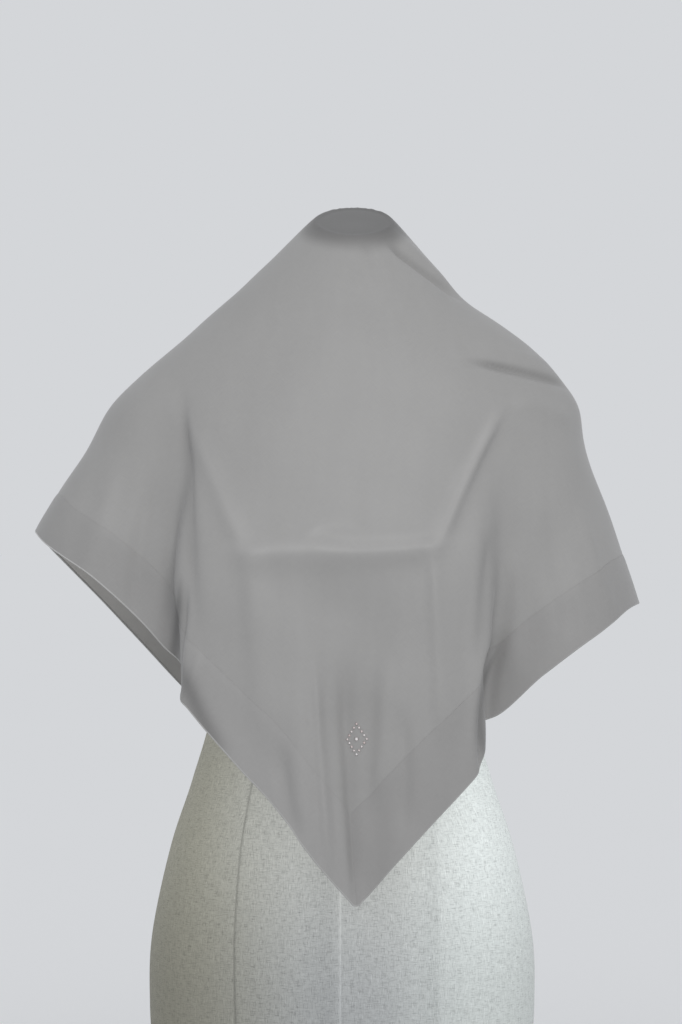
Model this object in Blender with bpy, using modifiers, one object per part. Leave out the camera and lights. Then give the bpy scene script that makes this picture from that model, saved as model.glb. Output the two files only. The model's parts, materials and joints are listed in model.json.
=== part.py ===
"""Silk square scarf on a limbless dress form.

The scarf is a square of silk folded once on its diagonal into a triangle. It hangs over the form
with the right-angled corner in front and the two tails behind. The front is -Y, up is +Z, and the
form stands on z = 0 with its own axis on the Z axis.

The cloth hardly stretches, so its points are found as on real cloth. The surface that the cloth
lies on is lofted through the closed sections in SECTIONS and pushed in and out by FOLDS. A point
of the flat cloth at distance r and angle a from the crown of the neck then lies on that surface
at distance r from the crown, and at r * a along the line of all points at that distance.
"""
from collections import namedtuple

import bpy
import numpy as np

# ---------------------------------------------------------------- sizes, in metres and degrees

CUT_SIDE = 1.000               # side of the silk square
CROWN_TO_LEFT_HEM = 0.4265     # from the crown of the neck to the two front hems, along the cloth
CROWN_TO_RIGHT_HEM = 0.4640
FORWARD = -4.3                 # azimuth in which the forward direction of the cloth lies
SILK = 0.0010                  # wall of each of the scarf's two layers
LAYER_GAP = 0.0006             # between them
HEM_SILK = 0.0008              # wall of a turned hem
HEM_WIDTH = 0.045
SEAM = 0.0003                  # between pieces that touch
GRID_CELLS = 38                # cells along a side of the square, two of them across each hem
CROWN_RADIUS = 0.0415          # the cloth breaks over the edge of the neck here
CROWN_CATCH = 0.012            # grid points this near to that edge are set on it

FORM_SEGMENTS = 36             # facets round the torso
FORM_STEPS = 2                 # rings of facets between two sections of the torso
BASE_THICKNESS = 0.018
BASE_INSET = 0.003
NECK_CAP_RADIUS = 0.0330
NECK_CAP_THICKNESS = 0.007
NECK_CAP_HEIGHT = 0.7862       # middle of the cap's underside
NECK_LEAN = 0.40               # rise of the neck's top from front to back, per metre
NECK_ASIDE = 0.0105            # the neck's top stands this far to the right of the axis
NECK_CAP_BEVEL = 0.002

# The sections of the draped surface: the reach from the section's middle to the four sides, the
# roundness of the corners between them (2 is an ellipse), the rise from front to back, and how far
# the middle stands aside, because the neck leans a little to the right.
Section = namedtuple("Section", "height left right front back roundness lean aside")
SECTIONS = (
    Section(0.8023, 0.0001, 0.0001, 0.0001, 0.0001, 2.0, 0.40, 0.0105),
    Section(0.8023, 0.0290, 0.0290, 0.0330, 0.0320, 2.0, 0.40, 0.0105),
    Section(0.7987, 0.0405, 0.0385, 0.0435, 0.0420, 2.0, 0.39, 0.0105),
    Section(0.7600, 0.0765, 0.0795, 0.0625, 0.0615, 2.0, 0.14, 0.0050),
    Section(0.7280, 0.1080, 0.1110, 0.0755, 0.0790, 2.0, 0.05, 0.0020),
    Section(0.6900, 0.1510, 0.1675, 0.0905, 0.1150, 2.1, 0.00, 0.0000),
    Section(0.6450, 0.1985, 0.2055, 0.1065, 0.1445, 2.2, 0.00, 0.0000),
    Section(0.6000, 0.2265, 0.2170, 0.1215, 0.1725, 2.2, 0.00, 0.0000),
    Section(0.5150, 0.2760, 0.2455, 0.1445, 0.2135, 2.2, 0.00, 0.0000),
    Section(0.4200, 0.2925, 0.2725, 0.1485, 0.2405, 2.2, 0.00, 0.0000),
    Section(0.3000, 0.2825, 0.2605, 0.1485, 0.2405, 2.2, 0.00, 0.0000),
    Section(0.1800, 0.2625, 0.2505, 0.1475, 0.2275, 2.2, 0.00, 0.0000),
    Section(0.0400, 0.2525, 0.2505, 0.1475, 0.2175, 2.2, 0.00, 0.0000),
)

# The folds: azimuth, half width across, the distances from the crown at which a fold starts and is
# at its full depth, and that depth, inward if it is below zero.
Fold = namedtuple("Fold", "azimuth half_width start full depth")
FOLDS = (
    Fold(-60, 14, 0.20, 0.42, -0.048),    # under the left armhole
    Fold(55, 13.5, 0.22, 0.50, -0.046),   # under the right armhole
    Fold(10, 10, 0.33, 0.55, -0.010),     # down the middle of the front
    Fold(-12, 10, 0.33, 0.55, 0.008),
    Fold(112, 13, 0.22, 0.45, -0.030),    # behind the right arm
    Fold(-155, 9, 0.25, 0.50, -0.035),    # in the tails
    Fold(150, 9, 0.25, 0.50, -0.035),
)

# How much longer or shorter than flat the cloth runs from the crown, by the angle on the cloth:
# it gives on the bias in front, and is gathered over both shoulders and behind the right one.
Ease = namedtuple("Ease", "angle share")
EASES = (Ease(-180, 0.020), Ease(-100, 0.020), Ease(-85, 0.006), Ease(-50, -0.042), Ease(-40, -0.038),
         Ease(-34, -0.030), Ease(-30, -0.013), Ease(-26, 0.006), Ease(-22, 0.024), Ease(-19, 0.022),
         Ease(-16, 0.004), Ease(-12, 0.006), Ease(-8, 0.008), Ease(-5, 0.006), Ease(0, 0.021),
         Ease(8, 0.010), Ease(20, 0.002), Ease(23.5, 0.014), Ease(28, -0.008), Ease(34, -0.030),
         Ease(41, -0.038), Ease(48, -0.030), Ease(60, -0.038), Ease(75, -0.052), Ease(100, -0.125),
         Ease(180, -0.125))
EASE_FULL = 0.20               # the easing is full this far from the crown

# The sections of the torso: half width, reach to the front and to the back, roundness, lean, and
# how far the section's middle stands aside.
Girth = namedtuple("Girth", "height half_width front back roundness lean aside")
GIRTHS = (
    Girth(BASE_THICKNESS + SEAM, 0.1615, 0.101, 0.113, 2.2, 0.00, 0.0),
    Girth(0.0600, 0.1670, 0.107, 0.120, 2.2, 0.00, 0.0),
    Girth(0.1100, 0.1705, 0.112, 0.126, 2.2, 0.00, 0.0),     # hips
    Girth(0.1700, 0.1685, 0.112, 0.124, 2.2, 0.00, 0.0),
    Girth(0.2480, 0.1520, 0.104, 0.108, 2.2, 0.00, 0.0),
    Girth(0.3080, 0.1325, 0.094, 0.088, 2.1, 0.00, 0.0),
    Girth(0.3700, 0.1165, 0.087, 0.076, 2.1, 0.00, 0.0),     # waist
    Girth(0.4300, 0.1230, 0.098, 0.081, 2.1, 0.00, 0.0),
    Girth(0.4800, 0.1350, 0.121, 0.089, 2.2, 0.00, 0.0),
    Girth(0.5150, 0.1430, 0.132, 0.095, 2.3, 0.00, 0.0),     # bust
    Girth(0.5600, 0.1500, 0.123, 0.104, 2.3, 0.00, 0.0),
    Girth(0.6100, 0.1640, 0.105, 0.112, 2.3, 0.00, 0.0),
    Girth(0.6500, 0.1710, 0.091, 0.106, 2.3, 0.00, 0.0),     # shoulders
    Girth(0.6780, 0.1480, 0.080, 0.088, 2.2, 0.00, 0.0),
    Girth(0.7030, 0.1110, 0.068, 0.074, 2.1, 0.00, 0.001),
    Girth(0.7280, 0.0740, 0.057, 0.060, 2.0, 0.10, 0.003),
    Girth(0.7550, 0.0480, 0.045, 0.046, 2.0, 0.26, 0.007),
    Girth(0.7862, 0.0375, 0.0375, 0.0375, 2.0, NECK_LEAN, NECK_ASIDE),
)

# From the middle of the back to the folded edge of each tail, by the distance from the crown.
Gap = namedtuple("Gap", "distance left right")
GAPS = (
    Gap(0.085, 0.000, 0.000),
    Gap(0.100, 0.012, 0.012),
    Gap(0.130, 0.022, 0.022),
    Gap(0.170, 0.030, 0.032),
    Gap(0.250, 0.030, 0.062),
    Gap(0.300, 0.030, 0.055),
    Gap(0.360, 0.030, 0.042),
    Gap(0.450, 0.030, 0.032),
    Gap(0.550, 0.030, 0.028),
)

AZIMUTH_STEPS = 360            # of the tables of the draped surface
DISTANCE_STEPS = 156
FURTHEST = 0.78
NUDGE = 0.004                  # over which the cloth's slopes are taken
SECTION_STEPS = 50             # between two sections, when distances are measured

FOLD_BEHIND = (CUT_SIDE - CROWN_TO_LEFT_HEM - CROWN_TO_RIGHT_HEM) / np.sqrt(2)


# ---------------------------------------------------------------- the draped surface

def ease_in(x):
    """0 below 0, 1 above 1, and a smooth step between."""
    x = np.clip(x, 0.0, 1.0)
    return x * x * (3.0 - 2.0 * x)


def between(rows, at):
    """The rows' values at the places 'at', on a smooth curve through every row."""
    rows = np.array(rows, float)
    low = np.clip(np.floor(at).astype(int), 0, len(rows) - 2)
    t = (at - low)[:, None]
    before, start, end, after = (rows[np.clip(low + k, 0, len(rows) - 1)] for k in (-1, 0, 1, 2))
    return 0.5 * (2 * start + (end - before) * t
                  + (2 * before - 5 * start + 4 * end - after) * t ** 2
                  + (3 * start - before - 3 * end + after) * t ** 3)


def section_points(azimuth, height, left, right, front, back, roundness, lean, aside):
    """Points of a section whose quarters are superellipses with the given reaches."""
    across, ahead = np.sin(azimuth), np.cos(azimuth)
    side = np.where(across < 0, left, right)
    depth = np.where(ahead > 0, front, back)
    reach = ((np.abs(across) / side) ** roundness + (np.abs(ahead) / depth) ** roundness) ** (-1 / roundness)
    return np.stack([reach * across + aside, -reach * ahead, height - lean * reach * ahead], -1)


def surface_table():
    """Azimuths, distances from the crown, and the surface's point at each azimuth and distance."""
    azimuths = np.linspace(-180, 180, AZIMUTH_STEPS + 1)
    distances = np.linspace(0, FURTHEST, DISTANCE_STEPS + 1)
    turn = np.radians(azimuths)[:, None]
    steps = np.linspace(0, len(SECTIONS) - 1, SECTION_STEPS * (len(SECTIONS) - 1) + 1)
    ways = section_points(turn, *between(SECTIONS, steps).T)
    gone = np.cumsum(np.linalg.norm(np.diff(ways, axis=1), axis=2), axis=1)
    gone = np.concatenate([np.zeros((len(azimuths), 1)), gone], axis=1)
    points = np.array([[np.interp(distances, run, way[:, axis]) for axis in range(3)]
                       for run, way in zip(gone, ways)]).transpose(0, 2, 1)
    push = np.zeros(points.shape[:2])
    for fold in FOLDS:
        off = (azimuths - fold.azimuth + 180) % 360 - 180
        across = np.exp(-2 * (off / fold.half_width) ** 2)[:, None]
        push += fold.depth * across * ease_in((distances - fold.start) / (fold.full - fold.start))
    points[..., 0] += push * np.sin(turn)
    points[..., 1] -= push * np.cos(turn)
    return azimuths, distances, points


def widest_angle(distance):
    """The angle, from straight ahead, at which the folded edge of the cloth is met."""
    beyond = np.arccos(np.clip(FOLD_BEHIND / np.maximum(distance, FOLD_BEHIND), -1, 1))
    return np.pi - beyond


def azimuth_table(azimuths, distances, points):
    """The azimuth of the cloth for each angle on the cloth and each distance from the crown.

    Along a line of one distance the cloth keeps its length, unless the back is too narrow for it.
    Past the distance of a front hem the front corner and the tail are apart: the corner is still
    measured from the front, and the tail from its folded edge."""
    angles = np.radians(np.linspace(-180, 180, 2 * AZIMUTH_STEPS + 1))
    along = np.cumsum(np.linalg.norm(np.diff(points, axis=0), axis=2), axis=0)
    along = np.concatenate([np.zeros((1, len(distances))), along], axis=0)
    forward = np.array([np.interp(FORWARD, azimuths, column) for column in along.T])
    along -= forward
    needed = distances * widest_angle(distances)
    gap_distances, left_gaps, right_gaps = np.array(GAPS).T
    table = np.zeros((len(angles), len(distances)))
    for side, to_hem, gaps in ((-1, CROWN_TO_LEFT_HEM, left_gaps), (1, CROWN_TO_RIGHT_HEM, right_gaps)):
        room = (along[-1] if side > 0 else -along[0]) - np.interp(distances, gap_distances, gaps)
        edge = np.minimum(room, needed)
        kept = edge / np.maximum(needed, 1e-9)
        hem = int(np.searchsorted(distances, to_hem))
        edge[hem:] = room[hem:] * edge[hem] / room[hem]
        kept[hem:] = kept[hem]
        angle = np.abs(angles)[:, None]
        arc = distances * angle * kept
        tail = edge - (needed - distances * angle) * kept
        beyond = (angle > np.pi / 4) & (np.arange(len(distances)) >= hem)
        arc = side * np.where(beyond, tail, arc)
        mine = angles * side >= 0
        for column in range(1, len(distances)):
            table[mine, column] = np.interp(arc[mine, column], along[:, column], azimuths)
    table[:, 0] = np.degrees(angles)
    return table


def look_up(table, row, column):
    """Values of a table between its rows and columns."""
    i = np.clip(np.floor(row).astype(int), 0, table.shape[0] - 2)
    j = np.clip(np.floor(column).astype(int), 0, table.shape[1] - 2)
    u, v = row - i, column - j
    if table.ndim == 3:
        u, v = u[..., None], v[..., None]
    return ((1 - u) * (1 - v) * table[i, j] + u * (1 - v) * table[i + 1, j]
            + (1 - u) * v * table[i, j + 1] + u * v * table[i + 1, j + 1])


def on_cloth(from_left_hem, from_right_hem):
    """Distance and angle from the crown of a point of the flat cloth, by its distances from the hems."""
    a, b = CROWN_TO_LEFT_HEM - from_left_hem, CROWN_TO_RIGHT_HEM - from_right_hem
    ahead, aside = (a + b) / np.sqrt(2), (b - a) / np.sqrt(2)
    return np.hypot(ahead, aside), np.arctan2(aside, ahead)


def drape(distance, angle, tables):
    """Where points of the flat cloth hang."""
    points, azimuth_of = tables
    degrees = np.degrees(angle)
    at = np.interp(degrees, [ease.angle for ease in EASES], range(len(EASES)))
    share = between(EASES, at)[:, 1]
    column = distance / FURTHEST * DISTANCE_STEPS
    azimuth = look_up(azimuth_of, (degrees + 180) / 360 * (len(azimuth_of) - 1), column)
    eased = column * (1 + share * ease_in(distance / EASE_FULL))
    return look_up(points, (azimuth + 180) / 360 * AZIMUTH_STEPS, eased)


# ---------------------------------------------------------------- the cloth's pieces

# Points and outward normals of one layer of the folded square, the way that points out of the
# cloth at the fold, the way along the cloth from its right side to its left, the points' places on
# the flat cloth (distances from the two hems), and the triangles.
Layer = namedtuple("Layer", "points normals beyond leftward flat triangles")


def cloth_layer(tables):
    """The folded square as a grid of points, with lines along the hems' inner edges."""
    inner = np.linspace(HEM_WIDTH, CUT_SIDE - HEM_WIDTH, GRID_CELLS - 3)
    lines = np.concatenate([[0, HEM_WIDTH / 2], inner, [CUT_SIDE - HEM_WIDTH / 2, CUT_SIDE]])
    number, flat = {}, []
    for i in range(GRID_CELLS + 1):
        for j in range(GRID_CELLS + 1 - i):
            number[i, j] = len(flat)
            flat.append((lines[i], lines[j]))
    flat = np.array(flat)

    def beside(shift_left, shift_right):
        return drape(*on_cloth(flat[:, 0] + shift_left, flat[:, 1] + shift_right), tables)

    distance, angle = on_cloth(flat[:, 0], flat[:, 1])
    caught = np.abs(distance - CROWN_RADIUS) < CROWN_CATCH
    points = drape(np.where(caught, CROWN_RADIUS, distance), angle, tables)
    along_left = beside(NUDGE, 0) - beside(-NUDGE, 0)
    along_right = beside(0, NUDGE) - beside(0, -NUDGE)
    normals = unit(np.cross(along_left, along_right))
    beyond = unit(beside(0, 0) - beside(-NUDGE, -NUDGE))
    leftward = unit(along_right - along_left)

    triangles = []
    for i in range(GRID_CELLS):
        for j in range(GRID_CELLS - i):
            here, left, right = number[i, j], number[i, j + 1], number[i + 1, j]
            if i + j == GRID_CELLS - 1:
                triangles.append((here, right, left))
                continue
            far = number[i + 1, j + 1]
            if i == j:                     # the mitre of the front corner runs through these cells
                triangles += [(here, far, left), (here, right, far)]
            else:
                triangles += [(here, right, left), (left, right, far)]
    return Layer(points, normals, beyond, leftward, flat, np.array(triangles))


def unit(vectors):
    """The vectors at a length of one."""
    return vectors / np.linalg.norm(vectors, axis=-1)[..., None]


def rim_edges(triangles):
    """The edges that only one triangle has, in that triangle's direction."""
    edges = np.concatenate([triangles[:, [0, 1]], triangles[:, [1, 2]], triangles[:, [2, 0]]]).tolist()
    known = {tuple(edge) for edge in edges}
    return [tuple(edge) for edge in edges if (edge[1], edge[0]) not in known]


def rim_faces(edges, count):
    """Faces that join the edges to the same edges 'count' points further on."""
    return [face for a, b in edges for face in ((b, a, a + count), (b, a + count, b + count))]


def add_folded_panel(layer, material, collection):
    """The folded square: an outer and an inner layer that are joined round the fold."""
    count = len(layer.points)
    depths = np.array([0.0, SILK, SILK + LAYER_GAP, 2 * SILK + LAYER_GAP])
    points = np.concatenate([layer.points - layer.normals * depth for depth in depths])
    turn = (points[:count] + points[3 * count:]) / 2 + layer.beyond * depths[3] / 2
    forward, back = layer.triangles, layer.triangles[:, ::-1]
    faces = np.concatenate([forward, back + count, forward + 2 * count, back + 3 * count]).tolist()

    folded = np.isclose(layer.flat.sum(axis=1), CUT_SIDE)
    edges = rim_edges(layer.triangles)
    fold = [edge for edge in edges if folded[edge[0]] and folded[edge[1]]]
    hems = [edge for edge in edges if edge not in fold]
    faces += rim_faces(hems, count)
    faces += rim_faces([(a + 2 * count, b + 2 * count) for a, b in hems], count)
    for a, b in fold:
        faces += [(b, a, a + 4 * count), (b, a + 4 * count, b + 4 * count)]
        faces += [(b + 4 * count, a + 4 * count, a + 3 * count)]
        faces += [(b + 4 * count, a + 3 * count, b + 3 * count)]
        faces += [(a + count, b + count, b + 2 * count), (a + count, b + 2 * count, a + 2 * count)]
    first = ({a for a, b in fold} - {b for a, b in fold}).pop()
    last = ({b for a, b in fold} - {a for a, b in fold}).pop()
    faces.append(tuple(first + k * count for k in (0, 1, 2, 3, 4)))
    faces.append(tuple(last + k * count for k in (0, 4, 3, 2, 1)))
    add_mesh("scarf_panel", np.concatenate([points, turn]), faces, material, collection)


def add_hem(name, layer, keep, side, outside, material, collection):
    """A turned hem: the kept triangles moved out by 'outside', with a wall below them.

    The hem stands half a seam back from the mitre of the front corner. Side is 1 on the left.
    """
    used, where = np.unique(layer.triangles[keep], return_inverse=True)
    triangles = where.reshape(-1, 3)
    mitre = np.isclose(layer.flat[used, 0], layer.flat[used, 1])[:, None]
    back = layer.leftward[used] * mitre * side * SEAM / 2
    outer = layer.points[used] + back + layer.normals[used] * outside
    inner = outer - layer.normals[used] * HEM_SILK
    faces = triangles.tolist() + (triangles[:, ::-1] + len(used)).tolist()
    faces += rim_faces(rim_edges(triangles), len(used))
    add_mesh(name, np.concatenate([outer, inner]), faces, material, collection)


def add_scarf(collection):
    """The folded square, and the turned hems along its two sides on each layer."""
    azimuths, distances, points = surface_table()
    layer = cloth_layer((points, azimuth_table(azimuths, distances, points)))
    from_left, from_right = layer.flat[layer.triangles].mean(axis=1).T
    add_folded_panel(layer, new_material("silk", (0.33, 0.33, 0.33), 0.45), collection)
    hem = new_material("silk_hem", (0.29, 0.29, 0.29), 0.45)
    outside, inside = SEAM + HEM_SILK, -(2 * SILK + LAYER_GAP + SEAM)
    on_left = (from_left < HEM_WIDTH) & (from_left < from_right)
    on_right = (from_right < HEM_WIDTH) & (from_right < from_left)
    for name, side, keep in (("left", 1, on_left), ("right", -1, on_right)):
        add_hem(f"hem_outer_{name}", layer, keep, side, outside, hem, collection)
        add_hem(f"hem_inner_{name}", layer, keep, side, inside, hem, collection)


# ---------------------------------------------------------------- the dress form

def add_torso(collection):
    """The torso, lofted through its girths and closed by a flat underside and a flat neck."""
    steps = np.linspace(0, len(GIRTHS) - 1, FORM_STEPS * (len(GIRTHS) - 1) + 1)
    turn = np.radians(np.arange(FORM_SEGMENTS) * 360 / FORM_SEGMENTS)[None, :]
    height, half, *others = (v[:, None] for v in between(GIRTHS, steps).T)
    rings = section_points(turn, height, half, half, *others)
    levels = len(steps)
    points = rings.reshape(-1, 3)
    faces = []
    for level in range(levels - 1):
        for k in range(FORM_SEGMENTS):
            nearby = (k + 1) % FORM_SEGMENTS
            a, b = level * FORM_SEGMENTS + k, level * FORM_SEGMENTS + nearby
            faces.append((a, b, b + FORM_SEGMENTS, a + FORM_SEGMENTS))
    faces.append(tuple(reversed(range(FORM_SEGMENTS))))
    faces.append(tuple(range((levels - 1) * FORM_SEGMENTS, levels * FORM_SEGMENTS)))
    add_mesh("form_torso", points, faces, new_material("linen", (0.50, 0.52, 0.50), 0.85), collection)


def add_base(collection):
    """The board that closes the torso from below, a little smaller than the torso."""
    girth = GIRTHS[0]
    turn = np.radians(np.arange(FORM_SEGMENTS) * 360 / FORM_SEGMENTS)
    outline = section_points(turn, 0.0, girth.half_width - BASE_INSET, girth.half_width - BASE_INSET,
                             girth.front - BASE_INSET, girth.back - BASE_INSET, girth.roundness, 0.0, 0.0)
    points = np.concatenate([outline, outline + [0, 0, BASE_THICKNESS]])
    count = FORM_SEGMENTS
    faces = [tuple(reversed(range(count))), tuple(range(count, 2 * count))]
    faces += [(k, (k + 1) % count, (k + 1) % count + count, k + count) for k in range(count)]
    add_mesh("form_base", points, faces, new_material("board", (0.42, 0.36, 0.28), 0.70), collection)


def add_neck_cap(collection):
    """The round cap on the slanting top of the neck."""
    bpy.ops.mesh.primitive_cylinder_add(vertices=FORM_SEGMENTS, radius=NECK_CAP_RADIUS,
                                        depth=NECK_CAP_THICKNESS)
    cap = bpy.context.object
    cap.name = cap.data.name = "form_neck_cap"
    slant = np.arctan(NECK_LEAN)
    rise = NECK_CAP_THICKNESS / 2 + SEAM
    cap.rotation_euler = (slant, 0, 0)
    cap.location = (NECK_ASIDE, -rise * np.sin(slant), NECK_CAP_HEIGHT + rise * np.cos(slant))
    bevel = cap.modifiers.new("rounded_edge", "BEVEL")
    bevel.width = NECK_CAP_BEVEL
    bevel.segments = 2
    bevel.limit_method = "ANGLE"
    cap.data.materials.append(new_material("cap_cloth", (0.50, 0.52, 0.50), 0.80))
    for holder in list(cap.users_collection):
        holder.objects.unlink(cap)
    collection.objects.link(cap)


# ---------------------------------------------------------------- scene

def new_material(name, colour, roughness):
    """A Principled material with a colour, a roughness and no metal."""
    material = bpy.data.materials.new(name)
    material.use_nodes = True
    shader = material.node_tree.nodes["Principled BSDF"]
    shader.inputs["Base Color"].default_value = (*colour, 1.0)
    shader.inputs["Roughness"].default_value = roughness
    shader.inputs["Metallic"].default_value = 0.0
    return material


def add_mesh(name, points, faces, material, collection):
    """An object of the given points and faces, smooth where its faces meet at less than 40 degrees."""
    mesh = bpy.data.meshes.new(name)
    mesh.from_pydata(points.tolist(), [], faces)
    mesh.materials.append(material)
    mesh.shade_smooth()
    mesh.set_sharp_from_angle(angle=np.radians(40))
    collection.objects.link(bpy.data.objects.new(name, mesh))


def main():
    """Clear the scene and model the form and the scarf."""
    for thing in list(bpy.data.objects):
        bpy.data.objects.remove(thing, do_unlink=True)
    collection = bpy.data.collections.new("scarf_on_form")
    bpy.context.scene.collection.children.link(collection)
    add_torso(collection)
    add_base(collection)
    add_neck_cap(collection)
    add_scarf(collection)


main()
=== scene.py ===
"""The looks of a silk square scarf on a limbless dress form.

The square is folded once on its diagonal and hangs over the form, with its right-angled corner in
front and two tails behind. Up is +Z and the front is -Y. The cloth's points are found from its own
flat measure: a point of the flat square lies at its flat distance from the crown of the neck, on
the surface that is lofted through SECTIONS and pushed in and out by FOLDS. CREASES then bend the
cloth along its normal, and a table of painted shade paints its colour darker in its deeper folds
and lighter with painted highlights on some ridges. The hems, the rolled edge and the crystals are
laid on the same surface.
"""
import functools
import json
from collections import namedtuple

import bmesh
import bpy
import numpy as np
from bpy.props import FloatProperty, FloatVectorProperty, IntProperty, PointerProperty
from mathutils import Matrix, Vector

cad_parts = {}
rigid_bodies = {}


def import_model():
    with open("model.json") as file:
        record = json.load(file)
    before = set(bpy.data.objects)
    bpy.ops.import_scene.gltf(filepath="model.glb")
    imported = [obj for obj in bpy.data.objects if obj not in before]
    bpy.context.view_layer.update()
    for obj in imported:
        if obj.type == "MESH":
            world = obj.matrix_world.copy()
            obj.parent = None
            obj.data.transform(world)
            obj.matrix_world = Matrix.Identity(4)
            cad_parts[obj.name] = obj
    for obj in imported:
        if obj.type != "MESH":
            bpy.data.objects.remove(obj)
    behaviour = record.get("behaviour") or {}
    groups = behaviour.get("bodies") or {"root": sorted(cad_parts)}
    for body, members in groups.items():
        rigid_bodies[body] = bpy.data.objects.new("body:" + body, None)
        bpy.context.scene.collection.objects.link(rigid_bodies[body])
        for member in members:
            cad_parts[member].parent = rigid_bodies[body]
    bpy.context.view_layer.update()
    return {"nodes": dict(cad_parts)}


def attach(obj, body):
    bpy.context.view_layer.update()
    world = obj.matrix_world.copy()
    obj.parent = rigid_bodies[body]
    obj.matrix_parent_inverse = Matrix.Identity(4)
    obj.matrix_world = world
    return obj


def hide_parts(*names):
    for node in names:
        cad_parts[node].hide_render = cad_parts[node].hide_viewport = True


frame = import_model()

bl_info = {
    "name": "Silk scarf on a dress form",
    "version": (1, 0, 0),
    "blender": (4, 5, 0),
    "location": "3D View > Sidebar > Scarf",
    "description": "Makes a folded silk square, its hems and crystals, the form under it and a stage",
    "category": "Add Mesh",
}

# ---------------------------------------------------------------- sizes, in metres and degrees

def named_rows(kind, *rows):
    """The rows of a table as tuples of that kind, whose columns have names."""
    return tuple(kind(*row) for row in rows)


CUT_SIDE = 1.000               # side of the finished silk square
CROWN_TO_LEFT_HEM = 0.4265     # from the crown of the neck to the two front hems, along the cloth
CROWN_TO_RIGHT_HEM = 0.4640
FORWARD = -4.3                 # azimuth in which the forward direction of the cloth lies
EASE_FULL = 0.20               # the easing in EASES is full this far from the crown
FOLD_BEHIND = (CUT_SIDE - CROWN_TO_LEFT_HEM - CROWN_TO_RIGHT_HEM) / np.sqrt(2)

# The sections of the draped surface: the reach from the section's middle to the four sides, the
# roundness of the corners between them (2 is an ellipse), the rise from front to back, and how far
# the middle stands aside, because the neck leans a little to the right.
Section = namedtuple("Section", "height left right front back roundness lean aside")
SECTIONS = named_rows(
    Section,
    (0.8023, 0.0001, 0.0001, 0.0001, 0.0001, 2.0, 0.40, 0.0105),
    (0.8023, 0.0290, 0.0290, 0.0330, 0.0320, 2.0, 0.40, 0.0105),
    (0.7987, 0.0405, 0.0385, 0.0435, 0.0420, 2.0, 0.39, 0.0105),
    (0.7600, 0.0765, 0.0795, 0.0625, 0.0615, 2.0, 0.14, 0.0050),
    (0.7280, 0.1080, 0.1110, 0.0755, 0.0790, 2.0, 0.05, 0.0020),
    (0.6900, 0.1510, 0.1675, 0.0905, 0.1150, 2.1, 0.00, 0.0000),
    (0.6450, 0.1985, 0.2055, 0.1065, 0.1445, 2.2, 0.00, 0.0000),
    (0.6000, 0.2265, 0.2170, 0.1215, 0.1725, 2.2, 0.00, 0.0000),
    (0.5150, 0.2760, 0.2455, 0.1445, 0.2135, 2.2, 0.00, 0.0000),
    (0.4200, 0.2925, 0.2725, 0.1485, 0.2405, 2.2, 0.00, 0.0000),
    (0.3000, 0.2825, 0.2605, 0.1485, 0.2405, 2.2, 0.00, 0.0000),
    (0.1800, 0.2625, 0.2505, 0.1475, 0.2275, 2.2, 0.00, 0.0000),
    (0.0400, 0.2525, 0.2505, 0.1475, 0.2175, 2.2, 0.00, 0.0000),
)

# The broad folds: azimuth, half width across, the distances from the crown at which a fold starts
# and is at its full depth, and that depth, inward if it is below zero.
Fold = namedtuple("Fold", "azimuth half_width start full depth")
FOLDS = named_rows(
    Fold,
    (-60, 12.5, 0.20, 0.42, -0.052),  # under the left armhole
    (55, 11.5, 0.22, 0.50, -0.053),   # under the right armhole
    (10, 10, 0.33, 0.55, -0.010),     # down the middle of the front
    (-12, 10, 0.33, 0.55, 0.008),
    (112, 13, 0.22, 0.45, -0.030),    # behind the right arm
    (-155, 9, 0.25, 0.50, -0.035),    # in the tails
    (150, 9, 0.25, 0.50, -0.035),
)

# How much longer or shorter than flat the cloth runs from the crown, by the angle on the cloth.
Ease = namedtuple("Ease", "angle share")
EASES = named_rows(
    Ease,
    (-180, 0.020), (-100, 0.020), (-85, 0.006), (-50, -0.042), (-40, -0.038), (-34, -0.030),
    (-30, -0.013), (-26, 0.006), (-22, 0.024), (-19, 0.022), (-16, 0.004), (-12, 0.006), (-8, 0.008),
    (-5, 0.006), (0, 0.021), (8, 0.010), (20, 0.002), (23.5, 0.014), (28, -0.008), (34, -0.030),
    (41, -0.038), (48, -0.030), (60, -0.038), (75, -0.052), (100, -0.125), (180, -0.125))

# From the middle of the back to the folded edge of each tail, by the distance from the crown.
Gap = namedtuple("Gap", "distance left right")
GAPS = named_rows(
    Gap,
    (0.0765, 0.000, 0.000),
    (0.0785, 0.0015, 0.0015),
    (0.085, 0.005, 0.005),
    (0.100, 0.012, 0.012),
    (0.130, 0.022, 0.022),
    (0.170, 0.030, 0.032),
    (0.250, 0.030, 0.062),
    (0.300, 0.030, 0.055),
    (0.360, 0.030, 0.042),
    (0.450, 0.030, 0.032),
    (0.550, 0.030, 0.028),
)

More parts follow.
